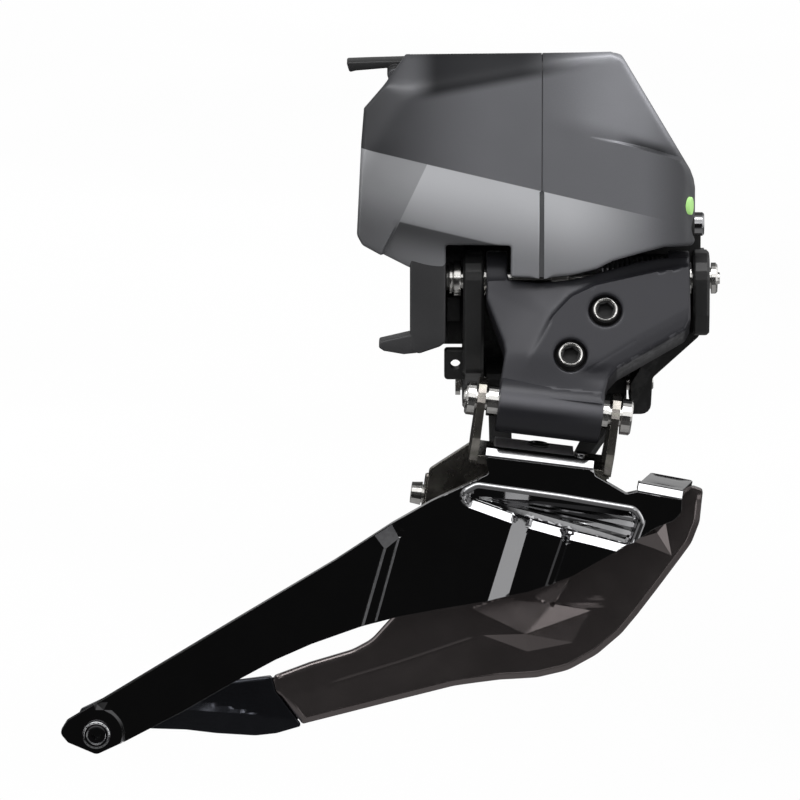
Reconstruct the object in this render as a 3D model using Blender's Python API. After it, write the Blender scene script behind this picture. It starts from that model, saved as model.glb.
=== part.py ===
"""Electronic front derailleur for a road bicycle, braze-on mount, battery not fitted.

World axes: +X forward, +Y inboard (towards the frame tube), +Z up; metres.
The world origin is the centre of the frame-mount pad.

All dimensions below are in millimetres in the pivot frame, whose origin lies
near the upper outer pivot; world() carries them into the world.

Linkage, a parallelogram (section across the pivots, Y inboard, Z up):
    A upper outer pivot, fixed to the yoke      B lower outer pivot, on the cage
    C upper inner pivot, fixed to the yoke      D lower inner pivot, on the cage
A and C run fore and aft. B and D are pitched nose-down, so the cage yaws as it
travels sideways.

Outlines list (horizontal, vertical) or (horizontal, vertical, corner radius).
Turned profiles list (distance along the axis, radius).
"""

import math

import bmesh
import bpy
from mathutils import Matrix, Vector

for old in list(bpy.data.objects):
    bpy.data.objects.remove(old, do_unlink=True)

MM = 0.001
PAD = Vector((3.0, 24.0, -12.0))  # centre of the frame-mount pad
AXIS_X = Vector((1.0, 0.0, 0.0))
INBOARD = Vector((0.0, 1.0, 0.0))
SHARP_ANGLE = math.radians(32)

# ---- linkage ---------------------------------------------------------------
LINK_SPAN = Vector((-1.8, -10.9, -18.9))  # from an upper pivot to its lower one
PIVOT_A = Vector((0.0, 0.0, 0.4))
PIVOT_B = PIVOT_A + LINK_SPAN
PIVOT_C = Vector((0.0, 16.0, -19.8))
PIVOT_D = PIVOT_C + LINK_SPAN
CAGE_PITCH = math.radians(7.2)
AXIS_B = Vector((math.cos(CAGE_PITCH), 0.0, -math.sin(CAGE_PITCH)))
UP_B = Vector((math.sin(CAGE_PITCH), 0.0, math.cos(CAGE_PITCH)))
DOWN = Vector((0, LINK_SPAN.y, LINK_SPAN.z)).normalized()
OUT = Vector((0, DOWN.z, -DOWN.y))  # normal of the outer link's outboard face

PIN_R = 1.7
BUSH_IN = 2.0  # bore for the outer pivot pins
BORE_R = 2.9  # bore of the outer link
INNER_PIN_R = 1.5
INNER_BORE_R = 1.8

# ---- drive unit housing ----------------------------------------------------
SKIN_Y = -7.0  # outboard face
BACK_Y = 18.0  # inboard face
REAR_X, FRONT_X = -24.0, 21.5
FLOOR_Z = 6.6
WALL = 1.8
SKIRT = 1.5
SEAM_X = -2.98
SEAM_GAP = 0.37  # from the seam's middle to each shell
REAR_EDGE, FRONT_EDGE = SEAM_X - SEAM_GAP, SEAM_X + SEAM_GAP

# ---- gear train, all axes fore and aft --------------------------------------
SECTOR = dict(module=0.6, teeth=40)
PINION = dict(module=0.6, teeth=10)
WHEEL = dict(module=0.5, teeth=30)
MOTOR_PINION = dict(module=0.5, teeth=10)
SHAFT_ANGLE = math.radians(15.0)  # lean of the pivot A to shaft line, from +Z inboard
MOTOR_ANGLE = math.radians(10.0)  # lean of the shaft to motor line
SHAFT_CLEARANCE, MOTOR_CLEARANCE = 0.15, 0.12  # added to the pitch radii
SHAFT_BORE_R = 1.0
WHEEL_X = (2.1, 3.9)


def mesh_centre(start, driver, driven, clearance, angle):
    """Axis of the second gear of a meshing pair, leaning inboard by angle."""
    distance = sum(g["module"] * g["teeth"] / 2 for g in (driver, driven)) + clearance
    return start + distance * Vector((0, math.sin(angle), math.cos(angle)))


SHAFT = mesh_centre(PIVOT_A, SECTOR, PINION, SHAFT_CLEARANCE, SHAFT_ANGLE)
MOTOR = mesh_centre(SHAFT, WHEEL, MOTOR_PINION, MOTOR_CLEARANCE, MOTOR_ANGLE)

# ---- placed details; points on crosswise axes have y = 0 ---------------------
BOLT = Vector((-1.6, 0.0, PAD.z))  # mounting bolt, behind the pad centre
LATCH_PIVOT = Vector((-26.4, 5.0, 33.4))
LATCH_AXLE = Vector((LATCH_PIVOT.x, 0.0, LATCH_PIVOT.z))
LATCH_BORE_R = 0.95
BUTTON_POS = Vector((FRONT_X, -2.9, 9.8))
LENS_POS = Vector((20.5, -5.75, 13.4))
LENS_AXIS = Vector((0.82, -0.57, 0.0))
CONTACTS = {"a": (-26, 5.8, 16.5), "b": (-26, 10.2, 16.5)}
# x, z of the screws through the inboard face of each shell
REAR_SCREWS = {"a": (-13.0, 24.0), "b": (-15.0, 12.0)}
FRONT_SCREWS = {"c": (9.0, 24.0), "d": (12.0, 12.0)}
# across the outer link (x), down it from pivot A
LIMIT_SCREWS = {"high": (7.2, 7.1), "low": (1.6, 14.6)}

# ---- cage ------------------------------------------------------------------
OUTER_Y = (-13.0, -11.5)
INNER_Y = (-2.2, -0.7)
TAIL_SCREW = Vector((-74.4, 0.0, -71.8))
TAIL_BORE_R = 1.5
SHEET = 1.3
CAGE_SCREW_BORE_R = 1.3


# ---- materials ---------------------------------------------------------------
def material(name, colour, roughness, metallic):
    mat = bpy.data.materials.new(name)
    mat.use_nodes = True
    shader = mat.node_tree.nodes["Principled BSDF"]
    shader.inputs["Base Color"].default_value = (*colour, 1.0)
    shader.inputs["Roughness"].default_value = roughness
    shader.inputs["Metallic"].default_value = metallic
    return mat


# name: linear RGB colour, roughness, metallic
PAINTS = {
    "shell_grey": ((0.085, 0.087, 0.093), 0.42, 0.35),
    "link_grey": ((0.075, 0.076, 0.083), 0.40, 0.45),
    "cast_black": ((0.020, 0.020, 0.021), 0.48, 0.20),
    "black_plastic": ((0.012, 0.012, 0.013), 0.50, 0.0),
    "rubber_black": ((0.010, 0.010, 0.010), 0.75, 0.0),
    "steel": ((0.62, 0.61, 0.60), 0.22, 1.0),
    "spring_steel": ((0.30, 0.30, 0.31), 0.30, 1.0),
    "bracket_steel": ((0.42, 0.38, 0.35), 0.30, 1.0),
    "cage_black": ((0.006, 0.006, 0.006), 0.18, 0.5),
    "cage_brown": ((0.020, 0.015, 0.014), 0.28, 0.6),
    "tail_blue_black": ((0.010, 0.011, 0.016), 0.24, 0.5),
    "led_green": ((0.45, 0.80, 0.25), 0.20, 0.0),
    "board_green": ((0.02, 0.12, 0.05), 0.45, 0.0),
    "brass": ((0.70, 0.52, 0.22), 0.30, 1.0),
    "gear_white": ((0.75, 0.74, 0.70), 0.45, 0.0),
}
MATS = {name: material(name, *values) for name, values in PAINTS.items()}


# ---- places: each carries an outline's two coordinates and its depth ----------
def world(point):
    return (Vector(point) - PAD) * MM


def place_xz(x, z, depth):
    return (x, depth, z)


def place_yz(y, z, depth):
    return (depth, y, z)


def link_place(x, down, out):
    """On the outer link: across, down from pivot A, out from the pivot plane."""
    return Vector((x, PIVOT_A.y, PIVOT_A.z)) + DOWN * down + OUT * out


def inner_link_place(x, down, out):
    return Vector((x, PIVOT_C.y, PIVOT_C.z)) + DOWN * down + OUT * out


def cage_place(along, y, up):
    """On the cage: along the lower pivot line, inboard and up, all from B."""
    return PIVOT_B + AXIS_B * along + INBOARD * y + UP_B * up


def cage_ear_place(y, up, along):
    return cage_place(along, y, up)


def cage_wall_place(along, up, y):
    return cage_place(along, y, up)


# ---- mesh helpers ------------------------------------------------------------
def to_object(bm):
    bmesh.ops.remove_doubles(bm, verts=bm.verts, dist=1e-7)
    bmesh.ops.recalc_face_normals(bm, faces=bm.faces)
    mesh = bpy.data.meshes.new("shape")
    bm.to_mesh(mesh)
    bm.free()
    obj = bpy.data.objects.new("shape", mesh)
    bpy.context.scene.collection.objects.link(obj)
    return obj


def rounded(corners, segments=4):
    """A polygon in which every corner that has a radius becomes an arc."""
    out = []
    count = len(corners)
    for i, corner in enumerate(corners):
        here = Vector(corner[:2])
        radius = corner[2] if len(corner) > 2 else 0.0
        if radius <= 0.0:
            out.append(here)
            continue
        back = Vector(corners[i - 1][:2]) - here
        ahead = Vector(corners[(i + 1) % count][:2]) - here
        half = back.angle(ahead) / 2.0
        # An arc takes at most 0.48 of either side, so neighbours cannot meet.
        reach = min(radius / math.tan(half), 0.48 * back.length, 0.48 * ahead.length)
        radius = reach * math.tan(half)
        back.normalize()
        ahead.normalize()
        centre = here + (back + ahead).normalized() * (radius / math.sin(half))
        first = here + back * reach - centre
        last = here + ahead * reach - centre
        turn = first.angle_signed(last)
        for k in range(segments + 1):
            angle = -turn * k / segments
            cos, sin = math.cos(angle), math.sin(angle)
            spoke = Vector((first.x * cos - first.y * sin, first.x * sin + first.y * cos))
            out.append(centre + spoke)
    return [(p.x, p.y) for p in out]


def prism(points, low, high, place=place_xz, chamfer=0.0):
    """Extrudes a polygon from depth low to high; chamfer breaks the end faces' edges."""
    bm = bmesh.new()
    verts = [bm.verts.new(world(place(a, b, low))) for a, b in points]
    face = bm.faces.new(verts)
    span = world(place(0, 0, high)) - world(place(0, 0, low))
    made = bmesh.ops.extrude_face_region(bm, geom=[face])
    moved = [g for g in made["geom"] if isinstance(g, bmesh.types.BMVert)]
    bmesh.ops.translate(bm, verts=moved, vec=span)
    if chamfer:
        along = span.normalized()
        caps = [
            f for f in bm.faces
            if abs(f.normal.dot(along)) > 0.99 and len(f.verts) == len(points)
        ]
        edges = {e for f in caps for e in f.edges}
        bmesh.ops.bevel(
            bm, geom=list(edges), offset=chamfer * MM, segments=1,
            affect="EDGES", clamp_overlap=True,
        )
    return to_object(bm)


def across(axis):
    """Two unit directions square to a unit axis. Along +X they are +Z and -Y."""
    side = axis.cross(INBOARD if abs(axis.y) < 0.9 else AXIS_X).normalized()
    return side, axis.cross(side)


def lathe(origin, axis, profile, segments=24):
    """Turns a profile about axis. Radius 0 at both ends makes a solid bar;
    otherwise the profile is a closed loop and makes a ring."""
    axis = Vector(axis).normalized()
    side, other = across(axis)
    origin = Vector(origin)
    bm = bmesh.new()
    rows = []
    for along, radius in profile:
        if radius <= 1e-6:
            rows.append([bm.verts.new(world(origin + axis * along))])
            continue
        row = []
        for k in range(segments):
            angle = 2 * math.pi * k / segments
            spoke = (side * math.cos(angle) + other * math.sin(angle)) * radius
            row.append(bm.verts.new(world(origin + axis * along + spoke)))
        rows.append(row)
    pairs = list(zip(rows, rows[1:]))
    if len(rows[0]) > 1:
        pairs.append((rows[-1], rows[0]))
    for one, two in pairs:
        for k in range(segments):
            n = (k + 1) % segments
            if len(one) == 1:
                bm.faces.new((one[0], two[k], two[n]))
            elif len(two) == 1:
                bm.faces.new((one[k], two[0], one[n]))
            else:
                bm.faces.new((one[k], two[k], two[n], one[n]))
    return to_object(bm)


def rod(origin, axis, start, end, radius, segments=24):
    profile = [(start, 0), (start, radius), (end, radius), (end, 0)]
    return lathe(origin, axis, profile, segments)


def tube(origin, axis, start, end, inner, outer, segments=24):
    profile = [(start, inner), (start, outer), (end, outer), (end, inner)]
    return lathe(origin, axis, profile, segments)


def box(x_span, y_span, z_span):
    (x0, x1), (z0, z1) = x_span, z_span
    return prism([(x0, z0), (x1, z0), (x1, z1), (x0, z1)], *y_span)


def combine(shape, operation, tools):
    for tool in tools:
        step = shape.modifiers.new("op", "BOOLEAN")
        step.operation = operation
        step.solver = "EXACT"
        step.object = tool
        graph = bpy.context.evaluated_depsgraph_get()
        mesh = bpy.data.meshes.new_from_object(shape.evaluated_get(graph))
        shape.modifiers.clear()
        shape.data = mesh
        bpy.data.objects.remove(tool, do_unlink=True)
    return shape


def join(shape, *tools):
    return combine(shape, "UNION", tools)


def cut(shape, *tools):
    return combine(shape, "DIFFERENCE", tools)


def keep(shape, *tools):
    return combine(shape, "INTERSECT", tools)


def slice_off(shape, point, normal):
    """Removes what lies beyond the plane, and closes the cut."""
    bm = bmesh.new()
    bm.from_mesh(shape.data)
    bmesh.ops.bisect_plane(
        bm,
        geom=list(bm.verts) + list(bm.edges) + list(bm.faces),
        dist=1e-8,
        plane_co=world(point),
        plane_no=Vector(normal).normalized(),
        clear_outer=True,
    )
    rim = [e for e in bm.edges if e.is_boundary]
    bmesh.ops.holes_fill(bm, edges=rim, sides=0)
    bmesh.ops.recalc_face_normals(bm, faces=bm.faces)
    bm.to_mesh(shape.data)
    bm.free()


def gear(origin, start, end, teeth, module, bore, phase, first=0, last=None, hub=0.0):
    """A spur gear along +X, or a sector of one from tooth first to tooth last that
    closes round a hub. phase turns tooth 0 from +Z towards -Y."""
    pitch_radius = module * teeth / 2
    tip, root = pitch_radius + 0.80 * module, pitch_radius - 1.15 * module
    whole = last is None
    last = teeth - 1 if whole else last
    step = 2 * math.pi / teeth
    half_pitch = 0.40 * step / 2  # half a tooth's angle at the pitch circle
    half_tip, half_root = half_pitch * 0.50, half_pitch * 1.45
    flank = ((root, -half_root), (tip, -half_tip), (tip, half_tip), (root, half_root))
    polar = [
        (radius, i * step + phase + angle)
        for i in range(first, last + 1)
        for radius, angle in flank
    ]
    if not whole:
        turn0 = first * step + phase - step * 0.6
        turn1 = last * step + phase + step * 0.6
        sweep = turn0 + 2 * math.pi - turn1
        arc = [(hub, turn1 + sweep * k / 12) for k in range(13)]
        polar = [(root, turn0)] + polar + [(root, turn1)] + arc
    side, other = across(AXIS_X)

    def place(a, b, along):
        return origin + side * a + other * b + AXIS_X * along

    points = [(r * math.cos(angle), r * math.sin(angle)) for r, angle in polar]
    solid = prism(points, start, end, place)
    return cut(solid, rod(origin, AXIS_X, start - 1, end + 1, bore, 20))


def coil(origin, axis, start, end, radius, wire, turns, around, sides):
    """A helix of round wire, of radius wire, with closed ends."""
    side, other = across(axis)
    bm = bmesh.new()
    rows = []
    count = turns * around
    for i in range(count + 1):
        angle = 2 * math.pi * i / around
        outward = side * math.cos(angle) + other * math.sin(angle)
        centre = origin + axis * (start + (end - start) * i / count) + outward * radius
        row = []
        for k in range(sides):
            turn = 2 * math.pi * k / sides
            offset = (outward * math.cos(turn) + axis * math.sin(turn)) * wire
            row.append(bm.verts.new(world(centre + offset)))
        rows.append(row)
    for one, two in zip(rows, rows[1:]):
        for k in range(sides):
            n = (k + 1) % sides
            bm.faces.new((one[k], one[n], two[n], two[k]))
    bm.faces.new(rows[0][::-1])
    bm.faces.new(rows[-1])
    return to_object(bm)


# ---- bodies: empties at the pivots of the parts that move ---------------------
def body(name, pivot, parent=None):
    empty = bpy.data.objects.new("body_" + name, None)
    bpy.context.scene.collection.objects.link(empty)
    empty.location = world(pivot)
    if parent is not None:
        empty.parent = parent
        empty.location = world(pivot) - parent.matrix_world.translation
    bpy.context.view_layer.update()
    return empty


ROOT = body("root", PAD)
LINK = body("outer_link", PIVOT_A, ROOT)
INNER = body("inner_link", PIVOT_C, ROOT)
CAGE = body("cage", PIVOT_B, LINK)
LATCH = body("latch", LATCH_PIVOT, ROOT)
BUTTON = body("button", BUTTON_POS, ROOT)
REDUCTION = body("reduction", SHAFT, ROOT)
ROTOR = body("rotor", MOTOR, ROOT)


def piece(shape, name, parent, paint):
    """Names and paints a finished shape, and puts its origin on its parent's."""
    shape.name = name
    shape.data.name = name
    shape.data.transform(Matrix.Translation(-parent.matrix_world.translation))
    shape.parent = parent
    shape.location = (0, 0, 0)
    shape.data.materials.clear()
    shape.data.materials.append(MATS[paint])
    shape.data.shade_smooth()
    shape.data.set_sharp_from_angle(angle=SHARP_ANGLE)


def turned(name, parent, paint, origin, axis, profile, segments=24):
    piece(lathe(origin, axis, profile, segments), name, parent, paint)


# ============================================================ mount body (yoke)
# y, z
REAR_ARM = [
    (-4.1, 4.5, 3.6), (4.2, 4.5, 3.6), (5.5, 1.0, 1.0), (22.4, 1.0), (22.4, -21.0, 1.5),
    (19.0, -23.4, 2.0), (12.8, -23.4, 2.0), (4.6, -18.0, 1.5), (-1.0, -15.7, 1.0),
    (-3.9, -14.3, 1.0),
]
FRONT_ARM = [
    (-4.2, 4.6, 3.7), (4.2, 4.6, 3.7), (6.0, 1.0, 1.0), (13.0, 1.0), (13.0, -11.5),
    (6.0, -10.2), (-3.0, -8.3, 1.2), (-4.2, -5.0),
]
# x, z
BRIDGE = [
    (24.0, 0.5), (24.0, -8.4, 1.0), (22.4, -10.6, 1.5), (15.2, -17.2, 1.0),
    (14.9, -23.2, 2.2), (11.7, -23.2), (11.7, 0.5),
]
BRIDGE_RELIEF = [(10.0, -21.0), (20.8, -3.0), (20.8, 2.0), (10.0, 2.0)]
YOKE_WEB = [
    (-15.4, 1.0), (23.9, 1.0), (23.9, -8.0, 1.0), (14.0, -20.5, 2.0), (-15.4, -20.5),
]
PAD_OUTLINE = [(-7.0, -3.0, 1.5), (13.0, -3.0, 1.5), (13.0, -21.0, 1.5), (-7.0, -21.0, 1.5)]
REAR_LUG = [(-18.5, -11.3, 0.5), (-15.2, -11.3), (-15.2, -16.0), (-18.5, -16.0, 0.6)]


def mount_body():
    rear_arm = prism(rounded(REAR_ARM), -15.5, -12.2, place_yz, chamfer=0.4)
    front_arm = prism(rounded(FRONT_ARM), 21.3, PAD.y, place_yz, chamfer=0.4)
    bridge = prism(rounded(BRIDGE), 6.0, 22.4)
    bridge = cut(bridge, prism(rounded(BRIDGE_RELIEF), 2.0, 11.6))
    yoke = join(
        rear_arm,
        prism(rounded(YOKE_WEB), 20.6, 22.4),
        front_arm,
        bridge,
        box((-15.4, 23.0), (11.4, 22.3), (2.2, 6.2)),  # deck
        box((-15.4, 23.0), (18.8, 22.3), (-1.0, 3.5)),  # deck foot
        prism(rounded(PAD_OUTLINE), 21.0, PAD.y),
        prism(rounded(REAR_LUG), -1.0, 2.0),
        box((-17.9, -15.2), (4.2, 13.0), (-11.0, -2.8)),  # block behind the rear arm
    )
    yoke = cut(
        yoke,
        rod(PIVOT_A, AXIS_X, -18, -10, BUSH_IN, 20),
        rod(PIVOT_A, AXIS_X, 19, 27, BUSH_IN, 20),
        rod(PIVOT_C, AXIS_X, -20, 20, INNER_BORE_R, 20),
        tube(PIVOT_C, AXIS_X, -11.95, 11.5, 0.5, 4.4, 20),  # room for the inner link
        rod(BOLT, INBOARD, 13, 27, 2.75, 20),
        rod((-16.7, 0, -13.6), INBOARD, -5, 7, 0.85, 14),  # hole in the rear lug
    )
    piece(yoke, "mount_body", ROOT, "cast_black")


def mounting_hardware():
    turned("mount_bolt", ROOT, "steel", BOLT, INBOARD, [
        (21.2, 0), (21.2, 2.4), (31.0, 2.4), (31.0, 4.2), (33.6, 4.2), (34.0, 3.8),
        (34.0, 1.5), (31.9, 1.5), (31.9, 0),
    ])
    turned("mount_washer", ROOT, "steel", BOLT, INBOARD,
           [(29.2, 2.7), (28.8, 5.0), (30.4, 5.0), (30.7, 2.7)])


# ============================================================ housing
# point on the plane, outward normal
UPPER_FACET = ((7.2, SKIN_Y, 38.3), (-43.4, -151.6, 225.4))
LOWER_FACET = ((-9.1, SKIN_Y, 7.0), (-2.8, -117.9, -11.6))
HOUSING_FACES = [
    ((REAR_X, 0, 0), (-1, 0, 0)),
    ((FRONT_X, 0, 0), (1, 0, 0)),
    ((0, 0, FLOOR_Z), (0, 0, -1)),
    ((0, SKIN_Y, 0), (0, -1, 0)),
    ((0, BACK_Y, 0), (0, 1, 0)),
    ((-24.0, 0.0, 37.0), (7.0, 193.5, 730.0)),  # top
    UPPER_FACET,
    ((19.8, 0, 20.5), (0.859, 0.0, 0.512)),
    ((21.1, 0, 17.6), (0.96, 0.0, 0.28)),
    ((9.4, 0, 37.7), (0.50, 0.0, 0.866)),
    ((20.9, 0, 19.0), (0.92, 0.0, 0.39)),
    ((19.3, SKIN_Y, 0), (0.42, -0.907, 0)),
    ((21.1, -5.9, 0), (0.80, -0.60, 0)),
    ((0, BACK_Y, 27.0), (0, 0.80, 0.60)),
    ((FRONT_X, 15.0, 0), (0.75, 0.66, 0)),
    ((-21.0, BACK_Y, 0), (-0.5, 0.866, 0)),
    ((0, BACK_Y - 1.2, FLOOR_Z), (0, 0.6, -0.8)),
]
# x, z
REAR_PANEL = [
    (REAR_EDGE, 37.8), (-24.4, 37.8, 0.6), (-31.3, 30.0, 0.4), (-31.8, 23.2),
    (-32.5, 8.5, 1.6), (-31.6, 6.9, 1.0), (-24.4, 3.1), (-18.3, 0.6),
    (-18.3, FLOOR_Z + 0.3, 0.3), (-7.9, FLOOR_Z + 0.3, 0.3), (-7.9, 1.75), (REAR_EDGE, 1.55),
]
FRONT_PANEL = [
    (FRONT_EDGE, 1.5), (2.0, 2.0), (5.8, 3.0), (8.3, 4.3), (13.0, 5.7), (16.4, 6.7),
    (16.4, 20.0), (5.0, 33.0), (FRONT_EDGE, 36.0),
]
LATCH_LUG = [(-27.9, 31.9, 1.4), (-23.0, 31.0), (-23.0, 36.0), (-25.5, 35.6), (-27.9, 35.0, 1.4)]
# y and z spans of the boxes that part the shells at the seam
PARTING = ((-20, 40), (-5, 60))


def housing_form(inset):
    """The faceted drive-unit volume, every face moved inwards by inset."""
    form = box((REAR_X - 2, FRONT_X + 2), (SKIN_Y - 2, BACK_Y + 2), (FLOOR_Z - 2, 42.0))
    for point, normal in HOUSING_FACES:
        n = Vector(normal).normalized()
        slice_off(form, Vector(point) - n * inset, n)
    return form


def housing_shell():
    return cut(housing_form(0.0), housing_form(WALL))


def wall_panel(points):
    """Outboard skin that runs past the housing."""
    panel = prism(points, SKIN_Y, SKIN_Y + SKIRT)
    slice_off(panel, *UPPER_FACET)
    slice_off(panel, *LOWER_FACET)
    return panel


def screw_holes(screws):
    return [rod((x, 0, z), INBOARD, 14, 22, 1.0, 12) for x, z in screws.values()]


def latch_hole():
    return rod(LATCH_AXLE, INBOARD, -3, 14, LATCH_BORE_R, 14)


def housing_rear():
    rear = cut(housing_shell(), box((REAR_EDGE, 40), *PARTING))
    rear = join(rear, wall_panel(rounded(REAR_PANEL, 3)))
    for y0, y1 in ((-0.6, 0.6), (9.4, 10.6)):
        rear = join(rear, prism(rounded(LATCH_LUG), y0, y1))
    rear = cut(
        rear,
        latch_hole(),
        box((-26, -21.5), (3.2, 12.8), (12.2, 20.8)),  # window for the contact block
        *screw_holes(REAR_SCREWS),
    )
    piece(rear, "housing_rear", ROOT, "shell_grey")


def housing_front():
    front = cut(housing_shell(), box((-60, FRONT_EDGE), *PARTING))
    front = join(front, wall_panel(FRONT_PANEL))
    front = cut(
        front,
        box((-4, 4.5), (-5.4, 12.4), (2.0, 9.2)),  # floor opening over the sector gear
        box((-4, 2.0), (-6.0, -5.0), (7.5, 14.5)),  # relief inside the skin
        rod(BUTTON_POS, AXIS_X, -6, 4, 2.85, 20),
        rod(LENS_POS, LENS_AXIS, -4, 4, 1.55, 16),
        *screw_holes(FRONT_SCREWS),
    )
    piece(front, "housing_front", ROOT, "shell_grey")


def housing_seal():
    seal_x = (SEAM_X - 0.13, SEAM_X + 0.13)
    seal = cut(housing_form(0.35), housing_form(WALL - 0.1))
    seal = keep(seal, box(seal_x, *PARTING))
    seal = join(seal, box(seal_x, (SKIN_Y + 0.35, SKIN_Y + SKIRT), (2.0, 9.0)))
    seal = cut(seal, box((-10, 10), (-5.4, 11.0), (2.0, 9.2)))
    piece(seal, "housing_seal", ROOT, "rubber_black")


def housing_screws():
    for label, (x, z) in {**REAR_SCREWS, **FRONT_SCREWS}.items():
        turned("housing_screw_" + label, ROOT, "steel", (x, 0, z), INBOARD, [
            (14.6, 0), (14.6, 0.7), (18.3, 0.7), (18.3, 1.8), (19.2, 1.6), (19.2, 0.8),
            (18.7, 0.8), (18.7, 0),
        ], 14)


def lens_and_button():
    turned("led_lens", ROOT, "led_green", LENS_POS, LENS_AXIS,
           [(-1.2, 0), (-1.2, 1.2), (0.25, 1.2), (0.55, 0.7), (0.6, 0)], 16)
    seal = tube(BUTTON_POS, AXIS_X, -2.2, 0.5, 2.1, 2.55, 20)
    piece(seal, "button_seal", ROOT, "rubber_black")
    turned("function_button", BUTTON, "black_plastic", BUTTON_POS, AXIS_X, [
        (-3.6, 0), (-3.6, 1.2), (-1.6, 1.2), (-1.6, 1.8), (1.9, 1.8), (2.2, 1.5), (2.2, 0),
    ], 20)


# ============================================================ battery side
# x, z
CRADLE = [
    (-24.0, 6.3), (-24.0, -7.6, 0.5), (-28.8, -9.2, 0.3), (-28.9, -10.0, 0.4),
    (-28.2, -10.8, 0.5), (-25.0, -11.1, 0.5), (-19.3, -9.9, 0.5), (-18.3, -9.2, 0.5),
    (-18.3, 6.3),
]
LATCH_OUTLINE = [
    (-34.3, 35.2, 0.3), (-33.6, 33.1, 0.4), (-28.8, 33.9), (-27.2, 31.9), (-25.4, 31.9),
    (-24.8, 33.4), (-25.2, 34.9, 0.4), (-28.6, 35.7),
]


def battery_cradle():
    """Upright hollowed from its front into two bays with a rib between."""
    cradle = prism(rounded(CRADLE, 3), -5.0, 16.5)
    for bay_y in ((-3.2, 3.9), (5.1, 14.9)):
        cradle = cut(cradle, box((-22.4, -17), bay_y, (-8.0, 8.0)))
    piece(cradle, "battery_cradle", ROOT, "black_plastic")


def battery_contacts():
    block = box((-24.9, -21.9), (3.6, 12.4), (12.6, 20.4))
    block = cut(block, *[rod(place, AXIS_X, 0, 6, 1.0, 12) for place in CONTACTS.values()])
    piece(block, "contact_block", ROOT, "black_plastic")
    for label, place in CONTACTS.items():
        turned("contact_pin_" + label, ROOT, "brass", place, AXIS_X,
               [(0.2, 0), (0.4, 0.55), (1.4, 0.65), (4.6, 0.65), (4.6, 0)], 12)


def battery_latch():
    latch = cut(prism(rounded(LATCH_OUTLINE, 3), 1.0, 9.0), latch_hole())
    piece(latch, "battery_latch", LATCH, "black_plastic")
    piece(rod(LATCH_AXLE, INBOARD, -1.0, 11.0, 0.65, 14), "latch_pin", ROOT, "steel")


# ============================================================ drive train
def drive_motor():
    turned("drive_motor", ROOT, "steel", MOTOR, AXIS_X, [
        (-21.0, 0), (-21.0, 5.4), (-20.4, 6.0), (-6.6, 6.0), (-6.0, 5.4), (-6.0, 2.2),
        (-5.0, 2.2), (-5.0, 1.15), (-9.0, 1.15), (-9.0, 0),
    ])


def circuit_board():
    outline = [(-20.5, 9.5), (-5.0, 9.5), (-5.0, 28.0), (-18.5, 28.0), (-20.5, 26.0)]
    piece(prism(outline, 13.0, 14.2), "circuit_board", ROOT, "board_green")


def gear_train():
    """Each driver has a tooth on the line of centres, and its mate a gap."""
    to_shaft, to_motor = -SHAFT_ANGLE, -MOTOR_ANGLE
    half_step = math.pi / PINION["teeth"]
    motor_half_step = math.pi / MOTOR_PINION["teeth"]

    sector = gear(PIVOT_A, -1.3, 1.3, **SECTOR, bore=2.0, phase=to_shaft,
                  first=-4, last=1, hub=3.9)
    piece(sector, "sector_gear", LINK, "steel")

    pinion = gear(SHAFT, -1.7, 2.3, **PINION, bore=SHAFT_BORE_R,
                  phase=to_shaft + math.pi + half_step)
    wheel = gear(SHAFT, *WHEEL_X, **WHEEL, bore=SHAFT_BORE_R, phase=to_motor)
    piece(join(pinion, wheel), "reduction_gear", REDUCTION, "gear_white")

    motor_pinion = gear(MOTOR, *WHEEL_X, **MOTOR_PINION, bore=0.5,
                        phase=to_motor + math.pi + motor_half_step)
    motor_pinion = join(motor_pinion, rod(MOTOR, AXIS_X, -8.5, 4.3, 0.8, 16))
    piece(motor_pinion, "motor_pinion", ROTOR, "brass")
    piece(rod(SHAFT, AXIS_X, -2.4, 6.9, 0.7, 14), "gear_shaft", ROOT, "steel")


def gear_plate():
    """Plate in front of the gears, bored for the shaft."""
    low, high = SHAFT.z - 4, MOTOR.z + 4
    outline = [
        (SHAFT.y - 5, low, 2), (SHAFT.y + 6, low, 2),
        (SHAFT.y + 7, high, 2), (SHAFT.y - 4, high, 2),
    ]
    plate = prism(rounded(outline), 4.8, 6.2, place_yz)
    plate = cut(plate, rod(SHAFT, AXIS_X, 3, 8, SHAFT_BORE_R, 14))
    piece(plate, "gear_plate", ROOT, "black_plastic")


# ============================================================ outer link
# x, distance down the link
LINK_SLAB = [
    (-11.8, 0.0), (-8.4, 0.0), (-8.0, 1.6, 0.5), (-3.4, 2.0), (2.2, 1.5), (5.8, 0.5),
    (8.3, -0.2), (12.0, -1.3), (15.4, -2.0), (20.8, -2.4, 0.5), (20.8, 8.6, 1.2),
    (20.0, 10.2, 1.0), (9.0, 16.8, 0.8), (7.6, 18.4, 0.8), (6.9, 21.5), (6.7, 22.0),
    (-9.6, 22.0), (-8.9, 14.0, 1.0), (-9.1, 12.4, 0.8), (-11.8, 4.9, 0.6),
]
LINK_RAISED = [
    (20.8, -0.3), (15.4, 0.7), (5.6, 3.0, 4.0), (1.8, 4.9, 3.0), (-1.2, 8.2, 3.0),
    (-6.0, 18.0, 0.6), (3.6, 18.6, 1.5), (20.8, 6.4),
]


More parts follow.
